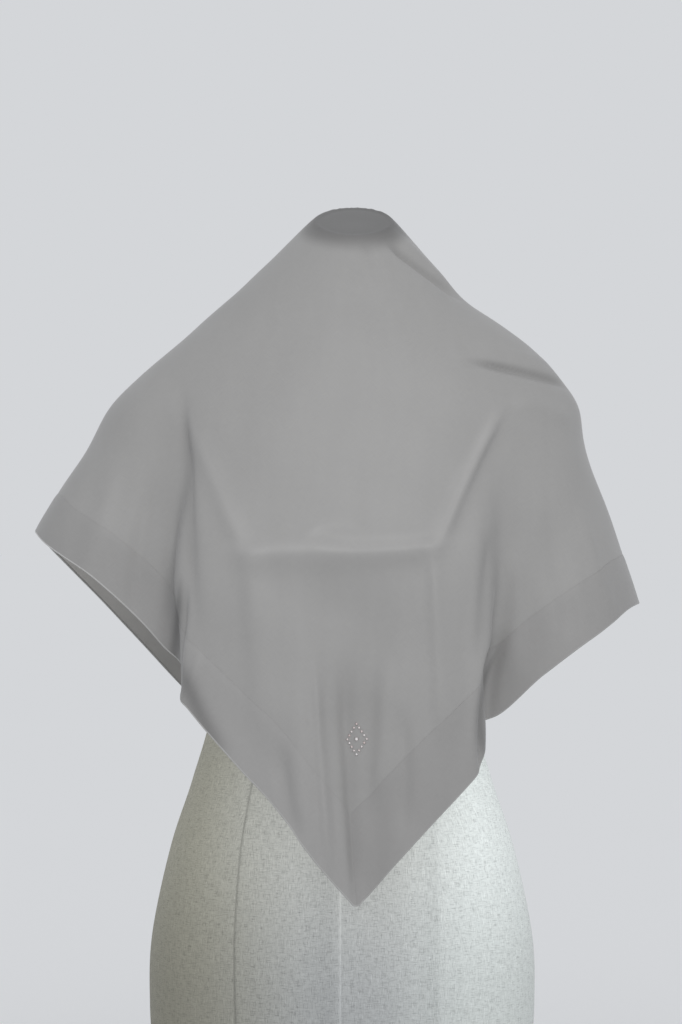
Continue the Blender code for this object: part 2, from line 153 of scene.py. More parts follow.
# The creases, each along a bow through three places that are given across and up. The half width
# runs from wide0 to wide1, rise is the height out of the cloth (below zero for a trough), and skew
# widens the flank above a crease that runs right, or right of one that runs down, and narrows the
# other flank. Side is -1 on the front and 1 on the back.
Crease = namedtuple("Crease", "side x0 z0 x1 z1 x2 z2 wide0 wide1 rise skew")
CREASES = named_rows(
    Crease,
    # across the bust: a soft uneven rise whose upper flank is the steeper, and the fall under it
    (-1, -0.090, 0.5060, -0.050, 0.5110, -0.008, 0.5110, 0.016, 0.019, 0.0046, -0.25),
    (-1, -0.016, 0.5110, 0.036, 0.5110, 0.082, 0.5160, 0.015, 0.012, 0.0046, -0.30),
    (-1, -0.030, 0.5260, -0.008, 0.5330, 0.012, 0.5280, 0.008, 0.007, 0.0008, 0.00),
    (-1, -0.006, 0.4900, -0.0060, 0.4100, -0.004, 0.3400, 0.046, 0.036, -0.0060, 0.10),
    # from the ends of the bust up to the shoulders
    (-1, 0.135, 0.6260, 0.1145, 0.5860, 0.086, 0.5220, 0.007, 0.008, 0.0044, -0.20),
    (-1, 0.136, 0.6100, 0.1180, 0.5700, 0.098, 0.5200, 0.014, 0.014, -0.0022, 0.00),
    (-1, -0.132, 0.6240, -0.1100, 0.5720, -0.084, 0.5120, 0.013, 0.012, 0.0026, 0.10),
    # from the ends of the bust down
    (-1, -0.080, 0.5080, -0.0720, 0.4300, -0.066, 0.3500, 0.015, 0.024, 0.0040, 0.20),
    (-1, 0.076, 0.5100, 0.0800, 0.4400, 0.084, 0.3600, 0.010, 0.015, 0.0036, 0.30),
    (-1, 0.104, 0.4700, 0.1060, 0.4100, 0.104, 0.3500, 0.012, 0.013, -0.0026, 0.00),
    # under the left armhole
    (-1, -0.137, 0.6320, -0.1320, 0.5450, -0.126, 0.4500, 0.008, 0.013, -0.0044, -0.20),
    (-1, -0.136, 0.4720, -0.1420, 0.4200, -0.146, 0.3800, 0.008, 0.013, -0.0090, -0.30),
    (-1, -0.122, 0.4200, -0.1300, 0.3950, -0.141, 0.3740, 0.005, 0.005, 0.0020, 0.00),
    # under the right armhole
    (-1, 0.128, 0.5200, 0.1220, 0.4700, 0.118, 0.4200, 0.009, 0.012, -0.0040, 0.10),
    (-1, 0.132, 0.4300, 0.1220, 0.3850, 0.121, 0.3200, 0.008, 0.009, -0.0066, 0.30),
    (-1, 0.152, 0.5100, 0.1490, 0.4600, 0.146, 0.4100, 0.012, 0.014, 0.0026, 0.00),
    # down to the front corner
    (-1, 0.004, 0.4100, 0.0080, 0.3200, 0.0130, 0.2200, 0.014, 0.010, -0.0060, 0.20),
    (-1, -0.022, 0.4080, -0.0180, 0.3340, -0.012, 0.2450, 0.006, 0.007, 0.0034, 0.20),
    (-1, -0.052, 0.3400, -0.0480, 0.3100, -0.038, 0.2700, 0.010, 0.011, -0.0034, 0.00),
    (-1, 0.036, 0.4100, 0.0340, 0.3600, 0.030, 0.3050, 0.014, 0.011, 0.0030, 0.00),
    (-1, 0.050, 0.3700, 0.0530, 0.3200, 0.052, 0.2800, 0.010, 0.011, -0.0030, 0.00),
    # on the wings
    (-1, 0.206, 0.5400, 0.2170, 0.5020, 0.233, 0.4550, 0.010, 0.012, 0.0030, 0.00),
    (-1, 0.180, 0.5400, 0.1880, 0.4900, 0.198, 0.4400, 0.014, 0.016, -0.0026, 0.00),
    (-1, -0.196, 0.5800, -0.2120, 0.5250, -0.222, 0.4700, 0.012, 0.017, 0.0028, 0.00),
    (-1, -0.164, 0.5700, -0.1740, 0.5100, -0.180, 0.4450, 0.013, 0.015, -0.0026, 0.00),
    # beside the neck and on the right shoulder, where the cloth is pulled
    (-1, 0.047, 0.7740, 0.0720, 0.7560, 0.102, 0.7350, 0.0045, 0.006, -0.0080, 0.30),
    (-1, 0.050, 0.7890, 0.0790, 0.7660, 0.110, 0.7440, 0.006, 0.008, 0.0030, -0.30),
    (-1, 0.020, 0.7760, 0.0300, 0.7580, 0.036, 0.7400, 0.006, 0.009, -0.0014, 0.00),
    (-1, 0.116, 0.6740, 0.1560, 0.6670, 0.200, 0.6560, 0.004, 0.006, -0.0050, 0.00),
    (-1, 0.120, 0.6860, 0.1560, 0.6810, 0.198, 0.6720, 0.007, 0.009, 0.0014, 0.00),
    (-1, 0.150, 0.6400, 0.1750, 0.6350, 0.198, 0.6250, 0.011, 0.012, 0.0026, 0.00),
    # on the back
    (1, -0.060, 0.7350, -0.1000, 0.6500, -0.150, 0.5600, 0.008, 0.014, -0.0046, 0.15),
    (1, -0.040, 0.7300, -0.0650, 0.6300, -0.090, 0.5000, 0.008, 0.015, 0.0042, -0.10),
    (1, -0.095, 0.7050, -0.1700, 0.6100, -0.220, 0.5000, 0.009, 0.014, 0.0036, 0.10),
    (1, 0.055, 0.7350, 0.0950, 0.6500, 0.140, 0.5700, 0.008, 0.013, -0.0048, -0.15),
    (1, 0.038, 0.7300, 0.0600, 0.6300, 0.080, 0.5200, 0.008, 0.014, 0.0038, 0.10),
    (1, 0.100, 0.7000, 0.1600, 0.6200, 0.200, 0.5300, 0.009, 0.015, 0.0038, -0.10),
    (1, -0.120, 0.5200, -0.1350, 0.4400, -0.140, 0.3600, 0.010, 0.014, -0.0034, 0.00),
    (1, 0.110, 0.5400, 0.1250, 0.4700, 0.130, 0.4000, 0.010, 0.014, -0.0034, 0.00),
)

# Painted shade: where the cloth's colour is painted darker, in its folds and creases, and painted
# highlights: where it is painted lighter, on ridges and across the bust (below zero). The columns are
# those of CREASES, with the share by which the colour is painted darker in the place of the rise.
PAINTED_SHADES = named_rows(
    Crease,
    (-1, -0.138, 0.4800, -0.1430, 0.4350, -0.150, 0.3850, 0.004, 0.010, 0.42, 0.00),
    (-1, -0.148, 0.5000, -0.1510, 0.4500, -0.155, 0.4000, 0.010, 0.014, 0.13, 0.00),
    (-1, -0.137, 0.4120, -0.1240, 0.3800, -0.103, 0.3380, 0.010, 0.013, 0.40, 0.00),
    (-1, -0.135, 0.6200, -0.1310, 0.5500, -0.128, 0.4900, 0.004, 0.008, 0.09, 0.00),
    (-1, 0.1300, 0.4180, 0.1180, 0.3780, 0.122, 0.3360, 0.003, 0.008, 0.34, 0.00),
    (-1, 0.1200, 0.5300, 0.1180, 0.4800, 0.116, 0.4300, 0.006, 0.009, 0.08, 0.00),
    (-1, 0.1160, 0.6730, 0.1560, 0.6665, 0.200, 0.6550, 0.0040, 0.006, 0.20, 0.00),
    (-1, 0.0470, 0.7720, 0.0720, 0.7550, 0.099, 0.7370, 0.004, 0.0040, 0.14, 0.00),
    (-1, 0.1270, 0.6200, 0.1095, 0.5860, 0.081, 0.5245, 0.0045, 0.0045, -0.11, 0.00),
    (-1, -0.128, 0.6190, -0.1070, 0.5700, -0.084, 0.5135, 0.005, 0.007, -0.04, 0.00),
    (-1, -0.088, 0.5130, -0.0040, 0.5145, 0.080, 0.5180, 0.008, 0.008, -0.10, 0.30),
    (-1, -0.030, 0.5240, -0.0120, 0.5310, 0.008, 0.5250, 0.006, 0.006, -0.07, 0.00),
    (-1, 0.0050, 0.4000, 0.0085, 0.3200, 0.013, 0.2300, 0.009, 0.008, 0.07, 0.00),
)

# Slow waves of the whole cloth: height, waves per metre away from each of the two front hems, phase.
Wave = namedtuple("Wave", "rise per_left per_right phase")
WAVES = named_rows(
    Wave,
    (0.00050, 7.1, 2.3, 0.4),
    (0.00040, -3.4, 8.3, 1.9),
    (0.00030, 13.7, 5.9, 3.1),
    (0.00022, 6.3, -14.9, 5.2),
)

AZIMUTH_STEPS = 720            # of the tables of the draped surface
DISTANCE_STEPS = 312
FURTHEST = 0.78
SECTION_STEPS = 50             # between two sections, when distances are measured
SHEET_CELLS = 390              # cells along a side of the outer layer, twice those of the inner one
OUTER_DEPTH = 0.0003           # middles of the two layers, below the outer face of the solid
INNER_DEPTH = 0.0020
INNER_SHORT = 0.0040           # by which the inner layer ends inside the outer one
PAINTED_CAP_SHADE = 0.44               # painted shade: by which the silk's colour is painted darker over the cap
PAINTED_INNER_GLOW = 0.50             # painted glow: share of its colour that the inner layer gives off near its hems, in place of light through the silk
CORNER = 0.0060                # radius of the square's front corners
FOLD_REACH = 0.0009            # by which the fold bulges past its line
NUDGE = 0.002                  # over which the cloth's slopes are taken
CREASE_NUDGE = 0.006           # the same, before the creases are laid on it
FOLD_TURN = 0.006              # on each side of its line, the fold turns over within this distance
CREASE_PAST = 0.18             # share of its length by which a crease runs on past its ends
CREASE_FADE = 0.40             # share of its length over which it rises from each end
FACING_DEPTH = 0.03            # a crease is full this far in front of or behind the form's axis

# The widths of the hem bands on the way from the front corner to the tails.
BAND_LEFT = ((0.0, 0.053), (0.12, 0.050), (0.25, 0.041), (0.36, 0.037), (0.45, 0.041), (1.0, 0.043))
BAND_RIGHT = ((0.0, 0.057), (0.12, 0.056), (0.25, 0.050), (0.40, 0.046), (1.0, 0.045))

RIM = 0.004                    # share of a band's width that its first column beside an edge takes
BAND_ROWS = 427                # along a band, past the two beside the mitre
BAND_COLUMNS = 15              # across a band, between the two at each edge
BAND_SHORT = 0.0035            # by which a band ends before the square's corner
HEM_SUNK = {"left": 0.90, "right": 0.75}   # share of the lift that a band loses at its inner edge

# Painted highlight: how pale the rolled edge of the left hem is painted, on the way from the front
# corner to the tail.
PAINTED_EDGE_HIGHLIGHT = ((0.0, 0.25), (0.30, 0.30), (0.38, 0.80), (0.46, 1.0), (0.60, 0.9), (0.75, 0.2), (1.0, 0.0))
ON_EDGE = 0.01                 # places nearer to the left hem than this are on its edge

BASE_THICKNESS = 0.018
BASE_INSET = 0.003
BASE_EDGE = 0.004              # radius of the board's rounded edge
BASE_SIDES = 120
SEAM = 0.0003                  # between pieces that touch
NECK_LEAN = 0.40               # rise of the neck's top from front to back, per metre
NECK_ASIDE = 0.0105            # the neck's top stands this far to the right of the axis
EDGE_SIDES = 10                # of the rolled edge's tube
STONE_SIDES = 8
FLOOR_SIDES = 96
FLOOR_RINGS = (0.5, 2.0, 8.0, 40.0)

# The sections of the torso: half width, reach to the front and to the back, roundness, lean, and
# how far the section's middle stands aside.
Girth = namedtuple("Girth", "height half_width front back roundness lean aside")
GIRTHS = named_rows(
    Girth,
    (BASE_THICKNESS + SEAM, 0.1615, 0.101, 0.113, 2.2, 0.00, 0.0),
    (0.0600, 0.1670, 0.107, 0.120, 2.2, 0.00, 0.0),
    (0.1100, 0.1705, 0.112, 0.126, 2.2, 0.00, 0.0),     # hips
    (0.1700, 0.1685, 0.112, 0.124, 2.2, 0.00, 0.0),
    (0.2480, 0.1520, 0.104, 0.108, 2.2, 0.00, 0.0),
    (0.3080, 0.1325, 0.094, 0.088, 2.1, 0.00, 0.0),
    (0.3700, 0.1165, 0.087, 0.076, 2.1, 0.00, 0.0),     # waist
    (0.4300, 0.1230, 0.098, 0.081, 2.1, 0.00, 0.0),
    (0.4800, 0.1350, 0.121, 0.089, 2.2, 0.00, 0.0),
    (0.5150, 0.1430, 0.132, 0.095, 2.3, 0.00, 0.0),     # bust
    (0.5600, 0.1500, 0.123, 0.104, 2.3, 0.00, 0.0),
    (0.6100, 0.1640, 0.105, 0.112, 2.3, 0.00, 0.0),
    (0.6500, 0.1710, 0.091, 0.106, 2.3, 0.00, 0.0),     # shoulders
    (0.6780, 0.1480, 0.080, 0.088, 2.2, 0.00, 0.0),
    (0.7030, 0.1110, 0.068, 0.074, 2.1, 0.00, 0.001),
    (0.7280, 0.0740, 0.057, 0.060, 2.0, 0.10, 0.003),
    (0.7550, 0.0480, 0.045, 0.046, 2.0, 0.26, 0.007),
    (0.7862, 0.0375, 0.0375, 0.0375, 2.0, NECK_LEAN, NECK_ASIDE),
)
FORM_RINGS = 236
SEAMS_BEND = (0.11, 0.20)      # height above which the seams leave their hip places, and over how much
PANEL_COLUMNS = (0.0, 0.0009, 0.0018, 0.0030, 0.0055)   # columns beside a seam, in metres
PANEL_MIDDLE = 16                                       # columns between those

# The seams between the torso's eight panels: the share of the half width at which a seam runs, at
# the hips and at the waist, in front (-1) or behind (1), and how dark it is (pale below zero).
SeamLine = namedtuple("SeamLine", "side hips waist tone")
SEAM_LINES = named_rows(
    SeamLine,
    (-1, -0.010, -0.010, -0.80),
    (-1, 0.520, 0.560, -0.15),
    (-1, 1.0, 1.0, 0.6),
    (1, 0.500, 0.520, 0.8),
    (1, 0.0, 0.0, 0.8),
    (1, -0.500, -0.520, 0.8),
    (-1, -1.0, -1.0, 0.8),
    (-1, -0.540, -0.592, 0.6),
)



# ---------------------------------------------------------------- the draped surface

def ease_in(x):
    """0 below 0, 1 above 1, and 3x^2 - 2x^3 between."""
    x = np.clip(x, 0.0, 1.0)
    return x * x * (3.0 - 2.0 * x)


def unit(vectors):
    """The vectors divided by their lengths."""
    return vectors / np.maximum(np.linalg.norm(vectors, axis=-1), 1e-12)[..., None]


def between(rows, at):
    """Catmull-Rom: the cubic through a row and the next, with slopes from the rows around them."""
    rows = np.array(rows, float)
    at = np.asarray(at, float)
    low = np.clip(np.floor(at).astype(int), 0, len(rows) - 2)
    t = (at - low)[..., None]
    before, start, end, after = (rows[np.clip(low + k, 0, len(rows) - 1)] for k in (-1, 0, 1, 2))
    return 0.5 * (2 * start + (end - before) * t
                  + (2 * before - 5 * start + 4 * end - after) * t ** 2
                  + (3 * start - before - 3 * end + after) * t ** 3)


def section_points(azimuth, height, left, right, front, back, roundness, lean, aside):
    """A ring whose reach r at an azimuth a keeps |r sin a / side|^n + |r cos a / depth|^n = 1."""
    across, ahead = np.sin(azimuth), np.cos(azimuth)
    side = np.where(across < 0, left, right)
    depth = np.where(ahead > 0, front, back)
    reach = ((np.abs(across) / side) ** roundness + (np.abs(ahead) / depth) ** roundness) ** (-1 / roundness)
    return np.stack([reach * across + aside, -reach * ahead, height - lean * reach * ahead], -1)


def surface_table():
    """The lofted surface by azimuth and by the length run down it from the crown.

    Each fold moves it along its azimuth by depth * exp(-2 (off / half width)^2), eased in along
    the length."""
    azimuths = np.linspace(-180, 180, AZIMUTH_STEPS + 1)
    distances = np.linspace(0, FURTHEST, DISTANCE_STEPS + 1)
    turn = np.radians(azimuths)[:, None]
    steps = np.linspace(0, len(SECTIONS) - 1, SECTION_STEPS * (len(SECTIONS) - 1) + 1)
    ways = section_points(turn, *between(SECTIONS, steps).T)
    gone = np.cumsum(np.linalg.norm(np.diff(ways, axis=1), axis=2), axis=1)
    gone = np.concatenate([np.zeros((len(azimuths), 1)), gone], axis=1)
    points = np.array([[np.interp(distances, run, way[:, axis]) for axis in range(3)]
                       for run, way in zip(gone, ways)]).transpose(0, 2, 1)
    push = np.zeros(points.shape[:2])
    for fold in FOLDS:
        off = (azimuths - fold.azimuth + 180) % 360 - 180
        across = np.exp(-2 * (off / fold.half_width) ** 2)[:, None]
        push += fold.depth * across * ease_in((distances - fold.start) / (fold.full - fold.start))
    points[..., 0] += push * np.sin(turn)
    points[..., 1] -= push * np.cos(turn)
    return azimuths, distances, points


def azimuth_table(azimuths, distances, points):
    """The azimuth of the cloth by the angle on the cloth and the distance r from the crown.

    A line of one distance keeps its length: a point at angle a lies r * a along it, or less where
    the back is too narrow for the cloth. Past a front hem the tail is measured from its fold."""
    angles = np.radians(np.linspace(-180, 180, 2 * AZIMUTH_STEPS + 1))
    along = np.cumsum(np.linalg.norm(np.diff(points, axis=0), axis=2), axis=0)
    along = np.concatenate([np.zeros((1, len(distances))), along], axis=0)
    along -= np.array([np.interp(FORWARD, azimuths, column) for column in along.T])
    beyond_fold = np.arccos(np.clip(FOLD_BEHIND / np.maximum(distances, FOLD_BEHIND), -1, 1))
    needed = distances * (np.pi - beyond_fold)
    gap_distances, left_gaps, right_gaps = np.array(GAPS).T
    table = np.zeros((len(angles), len(distances)))
    for side, to_hem, gaps in ((-1, CROWN_TO_LEFT_HEM, left_gaps), (1, CROWN_TO_RIGHT_HEM, right_gaps)):
        room = (along[-1] if side > 0 else -along[0]) - np.interp(distances, gap_distances, gaps)
        edge = np.minimum(room, needed)
        kept = edge / np.maximum(needed, 1e-9)
        hem = int(np.searchsorted(distances, to_hem))
        edge[hem:] = room[hem:] * edge[hem] / room[hem]
        kept[hem:] = kept[hem]
        angle = np.abs(angles)[:, None]
        tail = edge - (needed - distances * angle) * kept
        beyond = (angle > np.pi / 4) & (np.arange(len(distances)) >= hem)
        arc = side * np.where(beyond, tail, distances * angle * kept)
        mine = angles * side >= 0
        for column in range(1, len(distances)):
            table[mine, column] = np.interp(arc[mine, column], along[:, column], azimuths)
    table[:, 0] = np.degrees(angles)
    return table


def look_up(table, row, column):
    """Bilinear values of a table between its rows and columns."""
    i = np.clip(np.floor(row).astype(int), 0, table.shape[0] - 2)
    j = np.clip(np.floor(column).astype(int), 0, table.shape[1] - 2)
    u, v = row - i, column - j
    if table.ndim == 3:
        u, v = u[..., None], v[..., None]
    return ((1 - u) * (1 - v) * table[i, j] + u * (1 - v) * table[i + 1, j]
            + (1 - u) * v * table[i, j + 1] + u * v * table[i + 1, j + 1])


@functools.lru_cache(maxsize=1)
def tables():
    """The surface's points and the cloth's azimuths, worked out once."""
    azimuths, distances, points = surface_table()
    return points, azimuth_table(azimuths, distances, points)


def smooth_drape(from_left, from_right):
    """Where the cloth hangs before its creases, by the flat distances from the two front hems."""
    points, azimuth_of = tables()
    a, b = CROWN_TO_LEFT_HEM - from_left, CROWN_TO_RIGHT_HEM - from_right
    ahead, aside = (a + b) / np.sqrt(2), (b - a) / np.sqrt(2)
    distance, degrees = np.hypot(ahead, aside), np.degrees(np.arctan2(aside, ahead))
    at = np.interp(degrees, [ease.angle for ease in EASES], range(len(EASES)))
    share = between(EASES, at)[..., 1]
    column = distance / FURTHEST * DISTANCE_STEPS
    azimuth = look_up(azimuth_of, (degrees + 180) / 360 * (len(azimuth_of) - 1), column)
    eased = column * (1 + share * ease_in(distance / EASE_FULL))
    return look_up(points, (azimuth + 180) / 360 * AZIMUTH_STEPS, eased)


def slopes(surface, from_left, from_right, reach=NUDGE):
    """Unit steps of a surface along and across the cloth's weave, and its unit normal."""
    to_left = surface(from_left - reach, from_right) - surface(from_left + reach, from_right)
    to_right = surface(from_left, from_right - reach) - surface(from_left, from_right + reach)
    return unit(to_left), unit(to_right), unit(np.cross(to_left, to_right))


def along_bows(points, rows):
    """The sum of the rows at the points.

    Across a row it is rise * exp(-2 (off / half width)^2). Off is the distance from a bow
    over the chord from the first place to the last, through the middle place."""
    x, y, z = points[..., 0], points[..., 1], points[..., 2]
    height = np.zeros(x.shape)
    for crease in rows:
        chord = np.array([crease.x2 - crease.x0, crease.z2 - crease.z0])
        length = np.hypot(*chord)
        along, above = chord / length, np.array([-chord[1], chord[0]]) / length
        t = ((x - crease.x0) * along[0] + (z - crease.z0) * along[1]) / length
        off = (x - crease.x0) * above[0] + (z - crease.z0) * above[1]
        middle = np.array([crease.x1 - crease.x0, crease.z1 - crease.z0])
        share = middle @ along / length
        inside = np.clip(t, -0.3, 1.3)
        off = off - (middle @ above) * inside * (1 - inside) / (share * (1 - share))
        wide = crease.wide0 + (crease.wide1 - crease.wide0) * np.clip(t, 0, 1)
        wide = wide * np.where(off > 0, 1 + crease.skew, 1 - crease.skew)
        ends = ease_in((t + CREASE_PAST) / CREASE_FADE) * ease_in((1 + CREASE_PAST - t) / CREASE_FADE)
        facing = ease_in(y * crease.side / FACING_DEPTH)
        height += crease.rise * ends * facing * np.exp(-2 * (off / wide) ** 2)
    return height


def crease_height(points, from_left, from_right):
    """The sum of the creases and waves at the points."""
    height = along_bows(points, CREASES)
    distance = np.hypot(from_left - CROWN_TO_LEFT_HEM, from_right - CROWN_TO_RIGHT_HEM)
    settled = ease_in((distance - 0.05) / 0.1)
    for wave in WAVES:
        turns = wave.per_left * from_left + wave.per_right * from_right
        height += wave.rise * settled * np.sin(2 * np.pi * turns + wave.phase)
    return height


def cloth(from_left, from_right):
    """The creased cloth: the smooth drape moved along its normal by the height of the creases."""
    points = smooth_drape(from_left, from_right)
    normals = slopes(smooth_drape, from_left, from_right, CREASE_NUDGE)[2]
    return points + normals * crease_height(points, from_left, from_right)[..., None]


def rounded(p, q):
    """Places of the square, with those past the arc of its two front corners pulled in to it."""
    for near, sign in ((0.0, 1), (CUT_SIDE, -1)):
        across = np.maximum(CORNER - (p - near) * sign, 0.0)
        up = np.maximum(CORNER - (q - near) * sign, 0.0)
        reach = np.maximum(np.hypot(across, up), 1e-9)
        over = np.maximum(reach - CORNER, 0.0) / reach * sign
        p, q = p + across * over, q + up * over
    return p, q


def square(p, q, raised=0.0):
    """A point of the whole square. Its half with p + q < 1 is the outer layer; the other half is
    turned over the diagonal and lies inside it. 'raised' lifts the point off its own face."""
    p, q = rounded(p, q)
    past = p + q - CUT_SIDE
    outside = past <= 0
    from_left, from_right = np.where(outside, p, CUT_SIDE - q), np.where(outside, q, CUT_SIDE - p)
    short = INNER_SHORT * ease_in((0.02 - np.minimum(from_left, from_right)) / 0.02) * ease_in(past / 0.03)
    short = short * ease_in((0.58 - np.maximum(from_left, from_right)) / 0.08)
    from_left, from_right = from_left + short, from_right + short
    points = cloth(from_left, from_right)
    to_left, to_right, normals = slopes(cloth, from_left, from_right)
    turn = np.clip(past / FOLD_TURN, -1, 1)
    depth = (OUTER_DEPTH + INNER_DEPTH) / 2 + (INNER_DEPTH - OUTER_DEPTH) / 2 * np.sin(turn * np.pi / 2)
    bulge = FOLD_REACH * np.cos(turn * np.pi / 2)
    away = -unit(to_left + to_right)
    face = np.cos((turn + 1) * np.pi / 2)
    side = np.sin((turn + 1) * np.pi / 2)
    outward = normals * face[..., None] + away * side[..., None]
    return points - normals * depth[..., None] + away * bulge[..., None] + outward * raised, outward


# ---------------------------------------------------------------- meshes

def collection_named(name):
    """The collection of that name, made if it isn't there."""
    found = bpy.data.collections.get(name)
    if found is None:
        found = bpy.data.collections.new(name)
        bpy.context.scene.collection.children.link(found)
    return found


def new_piece(name, node, points, faces, material, flat=None, values=None):
    """A smooth mesh object of the points and faces, with a UV map of the flat places of its points
    and a float attribute for each entry of 'values'. It takes the place of the CAD node, if any."""
    mesh = bpy.data.meshes.new(name)
    mesh.from_pydata(points.reshape(-1, 3), [], faces)
    if flat is not None:
        corners = np.zeros(len(mesh.loops), dtype=np.int32)
        mesh.loops.foreach_get("vertex_index", corners)
        uv = mesh.uv_layers.new(name="flat")
        uv.data.foreach_set("uv", flat.reshape(-1, 2)[corners].astype(np.float32).ravel())
    for key, value in (values or {}).items():
        mesh.attributes.new(key, "FLOAT", "POINT").data.foreach_set("value", value.astype(np.float32).ravel())
    mesh.materials.append(material)
    mesh.shade_smooth()
    mesh.update()
    piece = bpy.data.objects.new(name, mesh)
    collection_named("scarf_on_form").objects.link(piece)
    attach(piece, "root")
    if node:
        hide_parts(node)
    return piece


def grid_faces(rows, columns, closed_rows=False, closed_columns=False):
    """Quads of a grid of points, turned so that they face rows x columns."""
    i = np.arange(rows if closed_rows else rows - 1)
    j = np.arange(columns if closed_columns else columns - 1)
    i, j = (v.ravel() for v in np.meshgrid(i, j, indexing="ij"))
    i1, j1 = (i + 1) % rows, (j + 1) % columns
    return np.stack([i * columns + j, i1 * columns + j, i1 * columns + j1, i * columns + j1], -1)


def add_wall(piece, thickness):
    """A wall of that thickness, half on each side of the surface."""
    wall = piece.modifiers.new("wall", "SOLIDIFY")
    wall.thickness = thickness
    wall.offset = 0.0
    wall.use_even_offset = False


# ---------------------------------------------------------------- materials

class Wire:
    """A socket's value, on which Python's sums and products add Math nodes."""

    def __init__(self, finish, socket):
        self.finish = finish
        self.socket = socket

    def math(self, operation, *others):
        return self.finish.node("ShaderNodeMath", {"operation": operation},
                                dict(enumerate((self, *others))))

    def __add__(self, other):
        return self.math("ADD", other)

    def __sub__(self, other):
        return self.math("SUBTRACT", other)

    def __rsub__(self, other):
        return self.finish.node("ShaderNodeMath", {"operation": "SUBTRACT"}, {0: other, 1: self})

    def __mul__(self, other):
        return self.math("MULTIPLY", other)

    def ranged(self, low, high, to_low=0.0, to_high=1.0):
        return self.finish.node("ShaderNodeMapRange", {"interpolation_type": "SMOOTHSTEP"},
                                {0: self, 1: low, 2: high, 3: to_low, 4: to_high})

    __radd__ = __add__
    __rmul__ = __mul__


class Finish:
    """A material with its node tree."""

    def __init__(self, name):
        self.material = bpy.data.materials.new(name)
        self.material.use_nodes = True
        self.tree = self.material.node_tree
        self.tree.nodes.clear()

    def node(self, kind, settings=None, values=None, out=0):
        """Add a node, set its settings, then give its sockets their values or links."""
        made = self.tree.nodes.new(kind)
        for name, value in (settings or {}).items():
            setattr(made, name, value)
        for name, value in (values or {}).items():
            if isinstance(value, Wire):
                self.tree.links.new(value.socket, made.inputs[name])
            else:
                made.inputs[name].default_value = value
        return Wire(self, made.outputs[out]) if len(made.outputs) else None

    def mix(self, share, first, second):
        """Colours mixed by a share."""
        return self.node("ShaderNodeMix", {"data_type": "RGBA"}, {0: share, 6: first, 7: second}, 2)

    def shaded(self, colour, amount):
        """A colour multiplied by a number."""
        colour = colour if isinstance(colour, Wire) else colour[:3]
        return self.node("ShaderNodeVectorMath", {"operation": "SCALE"}, {0: colour, 3: amount})

    def noise(self, vector, stretch, scale=1.0, detail=2.0, roughness=0.5, dimensions="3D", shift=0.0):
        """A noise on a vector whose parts are first multiplied by 'stretch'."""
        placed = self.node("ShaderNodeMapping", {}, {"Vector": vector, "Scale": stretch,
                                                     "Location": (shift, shift * 0.7, 0.0)})
        return self.node("ShaderNodeTexNoise", {"noise_dimensions": dimensions},
                         {"Vector": placed, "Scale": scale, "Detail": detail, "Roughness": roughness})

    def yarns(self, stretch, shift=0.0, detail=2.0):
        """A flat noise on the cloth's own measure, stretched into yarns."""
        return self.noise(self.flat(), stretch, detail=detail, dimensions="2D", shift=shift)

    def weave(self, fine, long, shifts, detail=2.0):
        """Yarns in both directions of the cloth."""
        return (self.yarns((fine, long, 1.0), shifts[0], detail),
                self.yarns((long, fine, 1.0), shifts[1], detail))

    def attribute(self, name):
        return self.node("ShaderNodeAttribute", {"attribute_name": name}, {}, 2)

    def flat(self):
        return self.node("ShaderNodeUVMap", {"uv_map": "flat"})

    def place(self):
        return self.node("ShaderNodeTexCoord", {}, {}, "Object")

    def bump(self, height, strength, distance):
        return self.node("ShaderNodeBump", {}, {"Strength": strength, "Distance": distance, "Height": height})

    def surface(self, values):
        """End the tree with a Principled shader."""
        shader = self.node("ShaderNodeBsdfPrincipled", {}, values)
        self.node("ShaderNodeOutputMaterial", {}, {"Surface": shader})
        return self.material


def rgba(colour, share=1.0):
    """A colour property as four numbers, scaled by a share."""
    return (colour[0] * share, colour[1] * share, colour[2] * share, 1.0)


def silk_material(name, settings, colour):
    """Fine silk: threads in both directions of the weave, a slow unevenness of dye, and a sheen."""
    finish = Finish(name)
    place = finish.place()
    warp, weft = finish.weave(2600.0, 90.0, (0.0, 3.1), detail=1.0)
    cloudy = finish.noise(place, (9.0, 9.0, 5.0), detail=3.0, roughness=0.6)
    streaks = finish.noise(place, (70.0, 40.0, 6.0), detail=2.0)
    threads = warp + weft - 1.0
    tone = 1.0 + threads * 0.10 + (cloudy - 0.5) * 0.07 + (streaks - 0.5) * 0.05
    # painted shade and painted highlights, from the piece's shade attribute
    tone = tone * (1.0 - finish.attribute("painted_shade"))
    roughness = settings.silk_roughness + (cloudy - 0.5) * 0.12 + threads * 0.08
    return finish.surface({
        "Base Color": finish.shaded(rgba(colour), tone), "Roughness": roughness,
        # painted glow: the inner layer gives off part of its colour near its hems, read from the through
        # attribute
        "Emission Color": finish.shaded(rgba(colour), finish.attribute("through")), "Emission Strength": 1.0,
        "Sheen Weight": settings.sheen, "Sheen Roughness": 0.45, "IOR": 1.45, "Specular IOR Level": 0.35,
        "Normal": finish.bump(threads, 0.25, 0.00012)})


def edge_material(settings):
    """The rolled edge: a lighter roll with the whipping stitches across it, and a painted highlight
    along part of the left hem.
    """
    finish = Finish("silk_rolled_edge")
    stitches = finish.yarns((520.0, 900.0, 1.0), detail=1.0)
    lint = finish.noise(finish.place(), (120.0, 120.0, 120.0), detail=2.0)
    tone = 0.94 + stitches * 0.10 + (lint - 0.5) * 0.08
    # painted highlight: paler along part of the left hem
    colour = finish.mix(finish.attribute("pale"), rgba(settings.edge_colour), rgba(settings.edge_painted_highlight))
    return finish.surface({
        "Base Color": finish.shaded(colour, tone),
        "Roughness": 0.42 + stitches * 0.15, "Sheen Weight": settings.sheen, "Sheen Roughness": 0.5,
        "Normal": finish.bump(stitches, 0.5, 0.0003)})


